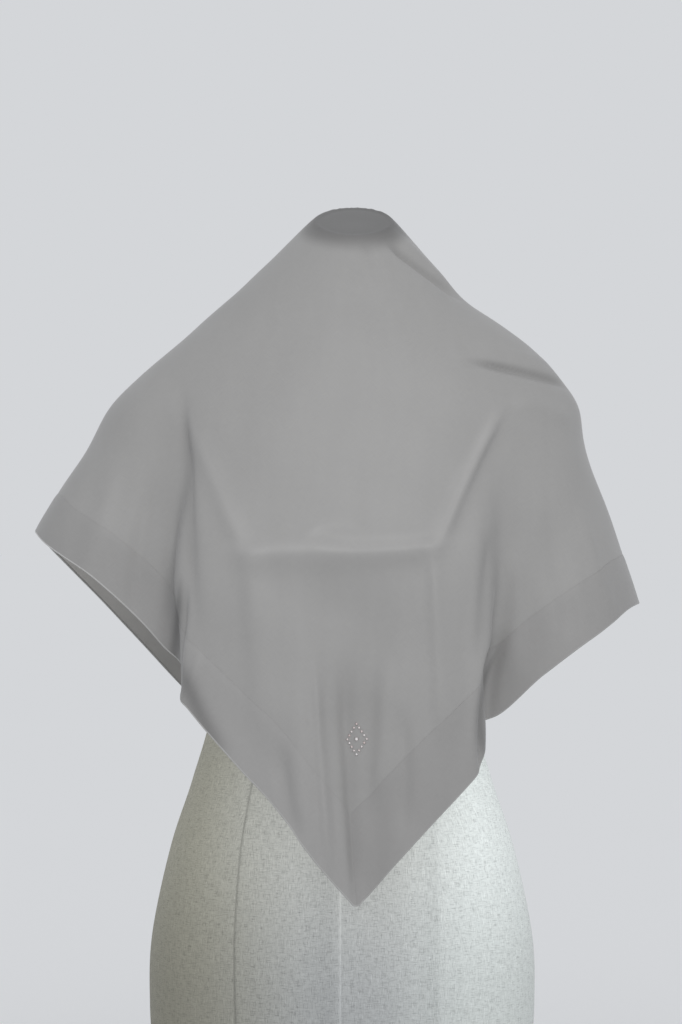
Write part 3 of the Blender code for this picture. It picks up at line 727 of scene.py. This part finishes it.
def linen_material(settings):
    """Slubby linen: fine threads, long dark slubs in both directions, painted shade that turns it darker
    and olive towards its left side and towards the board, painted light that makes it paler towards
    its right side, and darker cloth in the seams."""
    finish = Finish("linen")
    place = finish.place()
    warp, weft = finish.weave(1500.0, 110.0, (0.0, 5.0))
    slub_up, slub_across = finish.weave(1700.0, 150.0, (9.0, 14.0))
    pale_up = finish.yarns((900.0, 80.0, 1.0), 21.0)
    specks = slub_up.ranged(0.56, 0.70) + slub_across.ranged(0.56, 0.70) - pale_up.ranged(0.60, 0.75) * 0.7
    threads = warp + weft - 1.0
    apart, heights = (finish.node("ShaderNodeSeparateXYZ", {}, {"Vector": place}, out) for out in (0, 2))
    cloudy = finish.noise(place, (7.0, 7.0, 4.0), detail=3.0)
    # painted shade: darker and olive towards the left side, where less light falls
    painted_left_shade = (apart * -1.0 + (cloudy - 0.5) * 0.05).ranged(0.00, 0.15)
    # painted light: paler towards the right side, where more light falls
    pale = (apart + (cloudy - 0.5) * 0.04).ranged(0.02, 0.13)
    # painted shade: darker and bluer towards the board
    low = heights.ranged(0.26, 0.10) * 0.40
    colour = finish.mix(low, rgba(settings.linen_colour), rgba(settings.linen_low))
    colour = finish.mix(painted_left_shade, colour, rgba(settings.linen_olive_shade_and_mottle))
    colour = finish.mix(pale, colour, rgba(settings.linen_painted_light))
    seam = finish.attribute("seam")
    beside = apart.ranged(-0.040, -0.012) - apart.ranged(-0.010, -0.003)
    beside = beside + apart.ranged(0.060, 0.079) - apart.ranged(0.080, 0.086)
    tone = 1.05 + threads * 0.24 - specks * 0.22 + (cloudy - 0.5) * 0.06 - seam * 0.45 - beside * 0.08
    # painted shade: darker towards the bottom, lighter towards the top
    tone = tone * (heights.ranged(0.10, 0.31) * 0.40 + 0.68)
    return finish.surface({
        "Base Color": finish.shaded(colour, tone), "Roughness": 0.86 + threads * 0.1,
        "Sheen Weight": 0.12, "Sheen Roughness": 0.6, "Specular IOR Level": 0.25,
        "Normal": finish.bump(threads + specks * 0.6, 0.5, 0.0004)})


def board_material(settings):
    """The wooden board under the torso: long grain, pores, and a paler worn edge."""
    finish = Finish("board")
    place = finish.place()
    grain = finish.noise(place, (14.0, 260.0, 60.0), detail=4.0, roughness=0.6)
    rings = finish.noise(place, (4.0, 34.0, 20.0), detail=2.0)
    wear = finish.attribute("edge")
    colour = finish.mix(rings.ranged(0.35, 0.65), rgba(settings.board_colour),
                        rgba(settings.board_colour, 0.72))
    colour = finish.mix(wear * 0.5, colour, rgba(settings.board_colour, 1.5))
    return finish.surface({
        "Base Color": finish.shaded(colour, 0.85 + grain * 0.3), "Roughness": 0.5 + grain * 0.25,
        "Normal": finish.bump(grain, 0.3, 0.0004)})


def crystal_material(settings):
    """Cut glass backed with foil: bright facets with a rosy tint that varies from stone to stone."""
    finish = Finish("crystal")
    tint = finish.attribute("stone")
    colour = finish.mix(tint, rgba(settings.crystal_colour), rgba(settings.crystal_light))
    dust = finish.noise(finish.place(), (900.0, 900.0, 900.0), detail=1.0)
    return finish.surface({
        "Base Color": colour, "Metallic": 0.75, "Roughness": 0.10 + dust * 0.12, "Coat Weight": 0.6,
        "Coat Roughness": 0.05, "IOR": 1.6})


def setting_material(settings):
    """The thin metal cups of the crystals, rubbed bright in patches."""
    finish = Finish("crystal_cup")
    rubbed = finish.noise(finish.place(), (700.0, 700.0, 700.0), detail=2.0)
    colour = finish.mix(rubbed, rgba(settings.cup_colour), rgba(settings.cup_colour, 1.35))
    return finish.surface({"Base Color": colour, "Metallic": 0.95, "Roughness": 0.25 + rubbed * 0.2})


# ---------------------------------------------------------------- settings

def colour_of(name, description, *colour):
    """A setting that holds a colour."""
    return FloatVectorProperty(name=name, description=description, subtype="COLOR", default=colour,
                               min=0.0, max=1.0)


def length_of(name, description, metres):
    """A setting that holds a length."""
    return FloatProperty(name=name, description=description, default=metres, unit="LENGTH", precision=5)


def share_of(name, description, share):
    """A setting between 0 and 1."""
    return FloatProperty(name=name, description=description, default=share, min=0.0, max=1.0,
                         subtype="FACTOR")


def power_of(name, description, watts):
    """A setting that holds a light's power."""
    return FloatProperty(name=name, description=description, default=watts, unit="POWER")


class ScarfSettings(bpy.types.PropertyGroup):
    """The silk square."""
    silk_colour: colour_of("Silk", "Colour of the silk", 0.318, 0.312, 0.305)
    hem_colour: colour_of("Hem", "Colour of the doubled hem", 0.296, 0.290, 0.284)
    edge_colour: colour_of("Rolled edge", "Colour of the rolled edge", 0.330, 0.325, 0.318)
    # painted highlight on the left hem's rolled edge
    edge_painted_highlight: colour_of("Pale edge", "Colour of the edge where it catches light", 0.50, 0.495, 0.485)
    silk_roughness: share_of("Roughness", "Roughness of the silk", 0.5)
    sheen: share_of("Sheen", "Soft gloss of the silk's fibres", 0.12)
    silk_wall: length_of("Silk wall", "Thickness of one layer", 0.00035)
    hem_lift: length_of("Hem lift", "From a layer's middle to its hem's middle", 0.00045)
    edge_radius: length_of("Edge radius", "Radius of the rolled edge", 0.00085)


class CrystalSettings(bpy.types.PropertyGroup):
    """The lozenge of crystals near the front corner."""
    from_left_hem: length_of("From left hem", "Middle of the lozenge", 0.1000)
    from_right_hem: length_of("From right hem", "Middle of the lozenge", 0.0975)
    lozenge_width: length_of("Width", "Of the lozenge", 0.0150)
    lozenge_height: length_of("Height", "Of the lozenge", 0.0250)
    per_side: IntProperty(name="Stones a side", description="Stones along a side of the lozenge",
                          default=4, min=1, max=12)
    stone_radius: length_of("Stone radius", "Radius of a stone", 0.00105)
    crystal_colour: colour_of("Crystal", "Colour of the stones", 0.78, 0.66, 0.64)
    crystal_light: colour_of("Light crystal", "Colour of the palest stones", 0.97, 0.94, 0.93)
    cup_colour: colour_of("Cup", "Colour of the metal cups", 0.50, 0.46, 0.45)


class FormSettings(bpy.types.PropertyGroup):
    """The dress form."""
    linen_colour: colour_of("Linen", "Colour of the linen", 0.50, 0.51, 0.49)
    # painted shade: the linen's colour on its left side; on the cap, the colour of its random mottling
    linen_olive_shade_and_mottle: colour_of("Aged linen", "Colour of the linen on its left side", 0.345, 0.335, 0.270)
    # painted light: the linen's colour on its right side
    linen_painted_light: colour_of("Pale linen", "Colour of the linen on its right side", 0.72, 0.76, 0.74)
    # painted shade: the linen's colour near the board
    linen_low: colour_of("Low linen", "Colour of the linen near the board", 0.47, 0.49, 0.52)
    board_colour: colour_of("Board", "Colour of the board", 0.36, 0.27, 0.18)
    seam_depth: length_of("Seam depth", "Depth of the seams between the panels", 0.0005)
    seam_width: length_of("Seam width", "Half width of a seam's groove", 0.0010)


class StageSettings(bpy.types.PropertyGroup):
    """The floor, the lights and the camera."""
    backdrop: colour_of("Backdrop", "Colour behind the form", 0.658, 0.672, 0.694)
    floor_colour: colour_of("Floor", "Colour of the floor", 0.97, 0.97, 0.97)
    key_power: power_of("Key light", "Power of the light above the front", 33.0)
    side_power: power_of("Side light", "Power of the light at the right", 31.0)
    fill_power: power_of("Fill light", "Power of the light at the left of the form", 9.0)
    camera_distance: length_of("Distance", "From the axis of the form to the camera", 3.0)
    camera_height: length_of("Height", "Of the camera above the floor", 0.544)
    view_height: length_of("View", "Height of the view at the form's axis", 0.9094)


# ---------------------------------------------------------------- the pieces

def triangle_grid(cells):
    """The places of a triangle's grid, counted as (i, j) with i + j <= cells, and its faces.

    The point (i, j) has the number i (cells + 1) - i (i - 1) / 2 + j. Two kinds of faces: quads, and
    the triangles along the longest side."""
    i, j = (v.ravel() for v in np.meshgrid(np.arange(cells + 1), np.arange(cells + 1), indexing="ij"))
    i, j = i[i + j <= cells], j[i + j <= cells]

    def number(i, j):
        return i * (cells + 1) - i * (i - 1) // 2 + j

    a, b = i[i + j < cells - 1], j[i + j < cells - 1]
    quads = np.stack([number(a, b), number(a + 1, b), number(a + 1, b + 1), number(a, b + 1)], -1)
    a, b = i[i + j == cells - 1], j[i + j == cells - 1]
    ends = np.stack([number(a, b), number(a + 1, b), number(a, b + 1)], -1)
    return i, j, quads, ends


class SCARF_OT_silk_square(bpy.types.Operator):
    """Make the folded silk square"""
    bl_idname = "scarf.silk_square"
    bl_label = "Silk square"

    def execute(self, context):
        """One sheet over both layers: a fine grid for the half outside and a coarser one, turned
        half way round, for the half inside. The inner grid takes its points on the fold from the
        outer one, and each of its triangles there is split at the outer point between them."""
        settings = context.scene.scarf
        fine, coarse = SHEET_CELLS, SHEET_CELLS // 2
        i, j, quads, ends = triangle_grid(fine)
        p, q = i / fine * CUT_SIDE, j / fine * CUT_SIDE
        on_fold = np.flatnonzero(i + j == fine)[::-1]
        i, j, inner_quads, inner_ends = triangle_grid(coarse)
        own = i + j < coarse
        number = np.where(own, len(p) + np.cumsum(own) - 1, on_fold[np.minimum(2 * i, fine)])
        p = np.concatenate([p, CUT_SIDE - i[own] / coarse * CUT_SIDE])
        q = np.concatenate([q, CUT_SIDE - j[own] / coarse * CUT_SIDE])
        corner, first, second = number[inner_ends].T
        middle = on_fold[2 * i[inner_ends[:, 0]] + 1]
        faces = (quads.tolist() + ends.tolist() + number[inner_quads].tolist()
                 + np.stack([corner, first, middle], -1).tolist()
                 + np.stack([corner, middle, second], -1).tolist())
        points = square(p, q)[0]
        new_piece("silk_square", "scarf_panel", points, faces,
                  silk_material("silk", settings, settings.silk_colour),
                  np.stack([p, q], -1), {"painted_shade": painted_silk_shade(points), "through": painted_inner_glow(p, q)})
        return {"FINISHED"}


def painted_inner_glow(p, q):
    """The painted glow of the inner layer towards its hems, given off in place of the light that comes
    through the silk.
    """
    from_hem, along = CUT_SIDE - np.maximum(p, q), CUT_SIDE - np.minimum(p, q)
    return (PAINTED_INNER_GLOW * ease_in((0.16 - from_hem) / 0.13) * ease_in((p + q - CUT_SIDE) / 0.02)
            * ease_in((0.98 - along) / 0.45))


def painted_cap_shade(points):
    """The painted shade of the silk where it lies on the neck's cap: full inside the cap's rim, more
    on its top, and a little more on its right."""
    aside = points[..., 0] - SECTIONS[0].aside
    reach = np.hypot(aside, points[..., 1])
    depth = PAINTED_CAP_SHADE + 0.12 * ease_in((0.041 - reach) / 0.006) + 0.03 * ease_in(aside / 0.035)
    return depth * ease_in((0.052 - reach) / 0.012) * (points[..., 2] > 0.74)


def painted_silk_shade(points):
    """The painted shade of the silk at the points: darker over the cap and in its folds, and lighter
    with painted highlights where it is below zero.
    """
    return painted_cap_shade(points) + along_bows(points, PAINTED_SHADES)


def on_the_way(rows, along):
    """The value of a table's rows on the way from the front corner to the tail."""
    return np.interp(along, *np.array(rows).T)


def hem_band(side, inner, settings, material):
    """A doubled hem: s runs from the mitre to the tail, and t across the band from its edge."""
    rows = np.concatenate([[0.0, RIM / 10], np.linspace(0.0025, 1.0, BAND_ROWS)])
    columns = np.concatenate([[0.0, RIM], np.linspace(0.03, 0.97, BAND_COLUMNS), [1.0 - RIM, 1.0]])
    s, t = np.meshgrid(rows, columns, indexing="ij")
    mine, other = (BAND_LEFT, BAND_RIGHT) if side == "left" else (BAND_RIGHT, BAND_LEFT)
    across = t * on_the_way(mine, s)
    start = t * on_the_way(other, 0.0)
    along = start + s * (CUT_SIDE - BAND_SHORT - across - start)
    p, q = (across, along) if side == "left" else (along, across)
    if inner:
        p, q = CUT_SIDE - q, CUT_SIDE - p
    lift = settings.hem_lift * (1 - HEM_SUNK[side] * ease_in((t - 0.90) / 0.10))
    points = square(p, q, lift[..., None])[0]
    faces = grid_faces(*s.shape)
    if (side == "left") == (not inner):
        faces = faces[:, ::-1]
    node = f"hem_{'inner' if inner else 'outer'}_{side}"
    # the left outer band is lighter near the front corner, as pale as the silk there
    painted_shade = -0.07 * (side == "left") * (not inner) * ease_in((0.34 - s) / 0.1)
    piece = new_piece(f"{node}_band", node, points, faces.tolist(), material,
                      np.stack([p, q], -1),
                      {"painted_shade": painted_shade + painted_silk_shade(points), "through": painted_inner_glow(p, q)})
    add_wall(piece, settings.silk_wall)


class SCARF_OT_hems(bpy.types.Operator):
    """Make the doubled hems"""
    bl_idname = "scarf.hems"
    bl_label = "Hems"

    def execute(self, context):
        """Four bands, one along each side of the square, mitred where they meet."""
        settings = context.scene.scarf
        material = silk_material("silk_hem", settings, settings.hem_colour)
        for side in ("left", "right"):
            for inner in (False, True):
                hem_band(side, inner, settings, material)
        return {"FINISHED"}


class SCARF_OT_rolled_edge(bpy.types.Operator):
    """Make the rolled edge round the square"""
    bl_idname = "scarf.rolled_edge"
    bl_label = "Rolled edge"

    def execute(self, context):
        """A tube carried round the four sides of the square: its ring at each step is
        centre + radius (cos a * outward + sin a * normal)."""
        settings = context.scene.scarf
        s = np.concatenate([np.linspace(0, CORNER, 12, endpoint=False),
                            np.linspace(CORNER, 1 - CORNER, 420, endpoint=False),
                            np.linspace(1 - CORNER, 1, 12, endpoint=False)])
        zero, one = np.zeros_like(s), np.ones_like(s)
        p = np.concatenate([s, one, 1 - s, zero]) * CUT_SIDE
        q = np.concatenate([zero, s, one, 1 - s]) * CUT_SIDE
        centre, normal = square(p, q)
        ahead = unit(np.roll(centre, -1, axis=0) - np.roll(centre, 1, axis=0))
        outward = unit(np.cross(normal, ahead))
        normal = unit(np.cross(ahead, outward))
        turn = np.linspace(0, 2 * np.pi, EDGE_SIDES, endpoint=False)[None, :, None]
        radius = settings.edge_radius
        ring = np.cos(turn) * outward[:, None] + 0.85 * np.sin(turn) * normal[:, None]
        points = centre[:, None] - outward[:, None] * radius * 0.3 + ring * radius
        faces = grid_faces(len(p), EDGE_SIDES, True, True)
        run = np.linspace(0, 4 * CUT_SIDE, len(p))[:, None] + 0 * turn[..., 0]
        around = 0 * run + np.linspace(0, 0.005, EDGE_SIDES)[None]
        # painted highlight along part of the left hem's rolled edge
        pale = on_the_way(PAINTED_EDGE_HIGHLIGHT, q) * (p < ON_EDGE) * (p + q < CUT_SIDE)
        piece = new_piece("rolled_edge", None, points, faces.tolist(), edge_material(settings),
                          np.stack([run, around], -1), {"pale": np.repeat(pale, EDGE_SIDES)})
        close_normals(piece)
        return {"FINISHED"}


def close_normals(piece):
    """Turn the faces of a closed piece outwards."""
    bm = bmesh.new()
    bm.from_mesh(piece.data)
    bmesh.ops.remove_doubles(bm, verts=bm.verts, dist=1e-6)
    bmesh.ops.recalc_face_normals(bm, faces=bm.faces)
    bm.to_mesh(piece.data)
    bm.free()
    piece.data.shade_smooth()


class SCARF_OT_crystals(bpy.types.Operator):
    """Make the lozenge of crystals"""
    bl_idname = "scarf.crystals"
    bl_label = "Crystals"

    def execute(self, context):
        """Each stone is a turned outline of eight sides: a girdle, a crown and a flat table."""
        scene = context.scene
        settings = scene.crystals
        k = np.arange(4 * settings.per_side) / settings.per_side
        side, step = np.divmod(k, 1.0)
        corners = np.array([(0, 0.5), (0.5, 0), (0, -0.5), (-0.5, 0), (0, 0.5)])
        side, step = side.astype(int), step[:, None]
        spots = corners[side] * (1 - step) + corners[side + 1] * step
        spots = np.concatenate([spots, [(0, 0)]]) * (settings.lozenge_width, settings.lozenge_height)
        down = -spots[:, 1] / np.sqrt(2)
        aside = spots[:, 0] / np.sqrt(2)
        from_left = settings.from_left_hem - down + aside
        from_right = settings.from_right_hem - down - aside
        centre = cloth(from_left, from_right)
        along, across, normal = slopes(cloth, from_left, from_right)
        across = unit(np.cross(normal, along))
        size = np.full(len(spots), settings.stone_radius)
        size[-1] *= 1.5
        tints = (np.arange(len(spots)) * 0.618) % 1.0
        cups = ((0.0, -0.30), (1.10, -0.30), (1.18, 0.10), (1.02, 0.30), (0.98, 0.20))
        stones = ((0.98, 0.20), (1.00, 0.32), (0.82, 0.62), (0.52, 0.84), (0.0, 0.84))
        for name, outline, material in (("crystal_cups", cups, setting_material(settings)),
                                        ("crystal_stones", stones, crystal_material(settings))):
            profile = np.array(outline)
            turn = np.linspace(0, 2 * np.pi, STONE_SIDES, endpoint=False)
            out = profile[:, 0][:, None] * size[:, None, None] + 0 * turn
            up = profile[:, 1][:, None] * size[:, None, None] + 0 * turn
            points = (centre[:, None, None] + along[:, None, None] * (out * np.cos(turn))[..., None]
                      + across[:, None, None] * (out * np.sin(turn))[..., None]
                      + normal[:, None, None] * up[..., None])
            faces = grid_faces(len(profile), STONE_SIDES, False, True)
            each = len(profile) * STONE_SIDES
            faces = (faces[None] + np.arange(len(spots))[:, None, None] * each).reshape(-1, 4)
            piece = new_piece(name, None, points, faces.tolist(), material, None,
                              {"stone": np.repeat(tints, each)})
            close_normals(piece)
            piece.data.shade_flat()
        return {"FINISHED"}


def form_surface(height, half, front, back, roundness, lean, aside):
    """Rings of the torso whose columns keep to the seams.

    A seam at the share f of the half width h lies at the azimuth of the point (f h, d (1 - |f|^n)^(1/n))
    of its ring. Between two seams, columns stand at fixed distances beside each seam and evenly
    between those."""
    level = ease_in((height - SEAMS_BEND[0]) / SEAMS_BEND[1])
    seams = []
    for seam in SEAM_LINES:
        share = seam.hips + (seam.waist - seam.hips) * level
        depth = np.where(seam.side < 0, front, back)
        ahead = depth * np.maximum(1 - np.abs(share) ** roundness, 0) ** (1 / roundness)
        seams.append(np.arctan2(share * half, -seam.side * ahead))
    seams = np.unwrap(np.array(seams), axis=0)
    seams = np.concatenate([seams, seams[:1] + 2 * np.pi])
    azimuths, beside = [], []
    for start, end in zip(seams[:-1], seams[1:]):
        mean = (half + (front + back) / 2) / 2
        run = (end - start) * mean
        near = np.array(PANEL_COLUMNS)
        shares = np.arange(1, PANEL_MIDDLE + 1) / (PANEL_MIDDLE + 1)
        middle = near[-1] + (run[:, None] - 2 * near[-1]) * shares
        columns = np.concatenate([near + 0 * run[:, None], middle, run[:, None] - near[:0:-1]], axis=1)
        azimuths.append(start[:, None] + columns / mean[:, None])
        beside.append(np.minimum(columns, run[:, None] - columns))
    azimuth, beside = np.concatenate(azimuths, axis=1), np.concatenate(beside, axis=1)
    column = [v[:, None] for v in (height, half, half, front, back, roundness, lean, aside)]
    return section_points(azimuth, *column), beside


class SCARF_OT_form_body(bpy.types.Operator):
    """Make the linen torso"""
    bl_idname = "scarf.form_body"
    bl_label = "Linen torso"

    def execute(self, context):
        """The rings of the torso from the board to the neck, closed below and above, with grooves
        of depth * exp(-(distance / width)^2) along the seams."""
        settings = context.scene.form
        steps = np.linspace(0, len(GIRTHS) - 1, FORM_RINGS)
        rows = between(GIRTHS, steps).T
        rings, beside = form_surface(*rows)
        groove = np.exp(-(beside / settings.seam_width) ** 2)
        inward = unit(rings * (1, 1, 0))
        rings = rings - inward * (groove * settings.seam_depth)[..., None]
        count = rings.shape[1]
        gone = np.cumsum(np.linalg.norm(np.diff(rings, axis=1, append=rings[:, :1]), axis=2), axis=1)
        around = np.concatenate([np.zeros((len(rings), 1)), gone[:, :-1]], axis=1)
        panels = around.reshape(len(rings), len(SEAM_LINES), -1)
        panels = panels - panels[..., panels.shape[2] // 2][..., None]
        around = (panels + 0.5 * np.arange(len(SEAM_LINES))[:, None]).reshape(around.shape)
        flat = np.stack([around, rings[..., 2]], -1)
        middles = np.array([rings[0].mean(axis=0), rings[-1].mean(axis=0)])
        below, above = rings[0] * (0.5, 0.5, 1.0), middles[1] + (rings[-1] - middles[1]) * 0.5
        points = np.concatenate([below[None], rings, above[None]]).reshape(-1, 3)
        flat = np.concatenate([flat[:1], flat, flat[-1:]]).reshape(-1, 2)
        nearest = np.round(np.arange(count) / count * len(SEAM_LINES)).astype(int) % len(SEAM_LINES)
        toned = groove * np.array([line.tone for line in SEAM_LINES])[nearest]
        seam = np.concatenate([toned[:1] * 0, toned, toned[-1:] * 0]).ravel()
        rows_made = len(rings) + 2
        faces = grid_faces(rows_made, count, False, True)[:, ::-1].tolist()
        last = len(points)
        points = np.concatenate([points, middles])
        flat = np.concatenate([flat, [[0, 0], [0, 0]]])
        seam = np.concatenate([seam, [0, 0]])
        k = np.arange(count)
        after = (k + 1) % count
        top = (rows_made - 1) * count
        faces += np.stack([k, after, np.full(count, last)], -1)[:, ::-1].tolist()
        faces += np.stack([top + k, top + after, np.full(count, last + 1)], -1).tolist()
        piece = new_piece("form_body", "form_torso", points, faces, linen_material(settings), flat,
                          {"seam": seam})
        close_normals(piece)
        return {"FINISHED"}


class SCARF_OT_board_and_cap(bpy.types.Operator):
    """Make the board under the torso and finish the neck's cap"""
    bl_idname = "scarf.board_and_cap"
    bl_label = "Board and cap"

    def execute(self, context):
        """The board is its outline carried through a rounded edge: inset and height of each ring."""
        settings = context.scene.form
        girth = GIRTHS[0]
        bend = np.linspace(0, np.pi / 2, 6)
        early, late = BASE_EDGE * (1 - np.sin(bend)), BASE_EDGE * (1 - np.cos(bend))
        inset = np.concatenate([[0.5, 0.06, 0.02], early, late, [0.02, 0.06, 0.5]])
        rise = np.concatenate([[0, 0, 0], late, BASE_THICKNESS - early, [BASE_THICKNESS] * 3])
        wear = np.concatenate([[0, 0, 0], np.sin(2 * bend), np.sin(2 * bend), [0, 0, 0]])
        turn = np.radians(np.arange(BASE_SIDES) * 360 / BASE_SIDES)
        half, front, back = (reach - BASE_INSET for reach in (girth.half_width, girth.front, girth.back))
        outline = section_points(turn, 0.0, half, half, front, back, girth.roundness, 0.0, 0.0)
        share = np.maximum(1 - inset[:, None] / np.linalg.norm(outline, axis=1), 0.0)
        points = outline[None] * share[..., None]
        points[..., 2] = rise[:, None]
        faces = grid_faces(len(inset), BASE_SIDES, False, True).tolist()
        piece = new_piece("base_board", "form_base", points, faces, board_material(settings), None,
                          {"edge": np.repeat(wear, BASE_SIDES)})
        close_normals(piece)
        cap = frame["nodes"]["form_neck_cap"]
        cap.data.materials.clear()
        cap.data.materials.append(cap_material(settings))
        return {"FINISHED"}


def cap_material(settings):
    """The cap's cloth: the linen's colours mottled at random on a finer weave."""
    finish = Finish("cap_cloth")
    place = finish.place()
    warp = finish.noise(place, (1500.0, 90.0, 90.0), detail=2.0)
    weft = finish.noise(place, (90.0, 1500.0, 1500.0), detail=2.0, shift=4.0)
    cloudy = finish.noise(place, (40.0, 40.0, 40.0), detail=3.0)
    # random mottling between the linen's colour and its olive colour
    colour = finish.mix(cloudy.ranged(0.35, 0.7), rgba(settings.linen_colour), rgba(settings.linen_olive_shade_and_mottle))
    threads = warp + weft - 1.0
    return finish.surface({
        "Base Color": finish.shaded(colour, 1.0 + threads * 0.2), "Roughness": 0.85 + threads * 0.1,
        "Sheen Weight": 0.1, "Normal": finish.bump(threads, 0.4, 0.0003)})


# ---------------------------------------------------------------- the stage

def add_light(name, power, place, aim, size, lit, blocked_by):
    """A white round light at 'place' that shines at 'aim', lights only the collection 'lit' and is
    blocked by another, or by everything."""
    data = bpy.data.lights.new(name, "AREA")
    data.energy = power
    data.shape = "DISK"
    data.size = size
    lamp = bpy.data.objects.new(name, data)
    lamp.location = place
    lamp.rotation_euler = (Vector(place) - Vector(aim)).to_track_quat("Z", "Y").to_euler()
    bpy.context.scene.collection.objects.link(lamp)
    lamp.light_linking.receiver_collection = lit
    lamp.light_linking.blocker_collection = blocked_by


def make_sky(scene, settings):
    """An even sky of the backdrop's colour."""
    world = bpy.data.worlds.new("studio")
    world.use_nodes = True
    background = world.node_tree.nodes["Background"]
    background.inputs["Color"].default_value = rgba(settings.backdrop)
    background.inputs["Strength"].default_value = 1.0
    scene.world = world


def make_floor(scene, settings):
    """A wide pale disc that gives off a little of the backdrop's colour."""
    finish = Finish("floor")
    worn = finish.noise(finish.place(), (0.7, 0.7, 0.7), detail=2.0)
    finish.surface({"Base Color": finish.shaded(rgba(settings.floor_colour), 0.995 + worn * 0.01),
                    "Roughness": 1.0, "Specular IOR Level": 0.0,
                    "Emission Color": rgba(settings.backdrop), "Emission Strength": 0.03})
    ring = np.linspace(0, 2 * np.pi, FLOOR_SIDES, endpoint=False)
    radii = np.array(FLOOR_RINGS)[:, None]
    spread = np.stack([radii * np.cos(ring), radii * np.sin(ring), 0 * radii * ring], -1)
    faces = grid_faces(len(radii), FLOOR_SIDES, False, True).tolist() + [tuple(range(FLOOR_SIDES))]
    mesh = bpy.data.meshes.new("floor")
    mesh.from_pydata(spread.reshape(-1, 3), [], faces)
    mesh.materials.append(finish.material)
    floor = bpy.data.objects.new("floor", mesh)
    scene.collection.objects.link(floor)


def make_lights(settings):
    """The key lights the cloth. The fill and the side light the form, and the cloth doesn't block them."""
    cloth_lit, form_lit = collection_named("cloth_lit"), collection_named("form_lit")
    for thing in list(collection_named("scarf_on_form").objects) + list(frame["nodes"].values()):
        on_form = thing.name.startswith(("form", "base"))
        (form_lit if on_form else cloth_lit).objects.link(thing)
    for row in (("key", settings.key_power, (0.38, -2.7, 1.95), (0.0, 0.0, 0.5), 1.1, cloth_lit, None),
                ("fill", settings.fill_power, (-1.1, -2.2, 0.3), (-0.05, 0.0, 0.3), 0.8, form_lit, form_lit),
                ("side", settings.side_power, (1.7, -2.3, 0.5), (0.0, 0.0, 0.2), 0.8, form_lit, form_lit)):
        add_light(*row)


def make_camera(scene, settings):
    """A level camera in front of the form."""
    data = bpy.data.cameras.new("camera")
    data.sensor_fit = "VERTICAL"
    data.angle = 2 * np.arctan(settings.view_height / 2 / settings.camera_distance)
    data.clip_end = 100.0
    camera = bpy.data.objects.new("camera", data)
    camera.location = (-0.001, -settings.camera_distance, settings.camera_height)
    camera.rotation_euler = (np.pi / 2, 0.0, 0.0)
    scene.collection.objects.link(camera)
    scene.camera = camera


class SCARF_OT_stage(bpy.types.Operator):
    """Make the floor, the lights and the camera"""
    bl_idname = "scarf.stage"
    bl_label = "Stage"

    def execute(self, context):
        """A wide floor under an even sky, three lights and a level camera."""
        scene, settings = context.scene, context.scene.stage
        make_sky(scene, settings)
        make_floor(scene, settings)
        make_lights(settings)
        make_camera(scene, settings)
        scene.view_settings.view_transform = "Standard"
        return {"FINISHED"}


class SCARF_PT_panel(bpy.types.Panel):
    """The scarf's settings and pieces"""
    bl_idname = "SCARF_PT_panel"
    bl_label = "Silk scarf"
    bl_space_type = "VIEW_3D"
    bl_region_type = "UI"
    bl_category = "Scarf"

    def draw(self, context):
        """List the settings, and a button for each operator."""
        for name, group in GROUPS.items():
            box = self.layout.box()
            for key in group.__annotations__:
                box.prop(getattr(context.scene, name), key)
        for operator in OPERATORS:
            self.layout.operator(operator.bl_idname)


GROUPS = {"scarf": ScarfSettings, "crystals": CrystalSettings, "form": FormSettings, "stage": StageSettings}
OPERATORS = (SCARF_OT_form_body, SCARF_OT_board_and_cap, SCARF_OT_silk_square, SCARF_OT_hems,
             SCARF_OT_rolled_edge, SCARF_OT_crystals, SCARF_OT_stage)


def register():
    """Register the settings, the operators and the panel."""
    for name, group in GROUPS.items():
        bpy.utils.register_class(group)
        setattr(bpy.types.Scene, name, PointerProperty(type=group))
    for kind in (*OPERATORS, SCARF_PT_panel):
        bpy.utils.register_class(kind)


def unregister():
    """Undo register."""
    for kind in (SCARF_PT_panel, *reversed(OPERATORS)):
        bpy.utils.unregister_class(kind)
    for name, group in reversed(GROUPS.items()):
        delattr(bpy.types.Scene, name)
        bpy.utils.unregister_class(group)


def main():
    """Register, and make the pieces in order."""
    register()
    for operator in OPERATORS:
        group, name = operator.bl_idname.split(".")
        getattr(getattr(bpy.ops, group), name)()


if __name__ == "__main__":
    main()
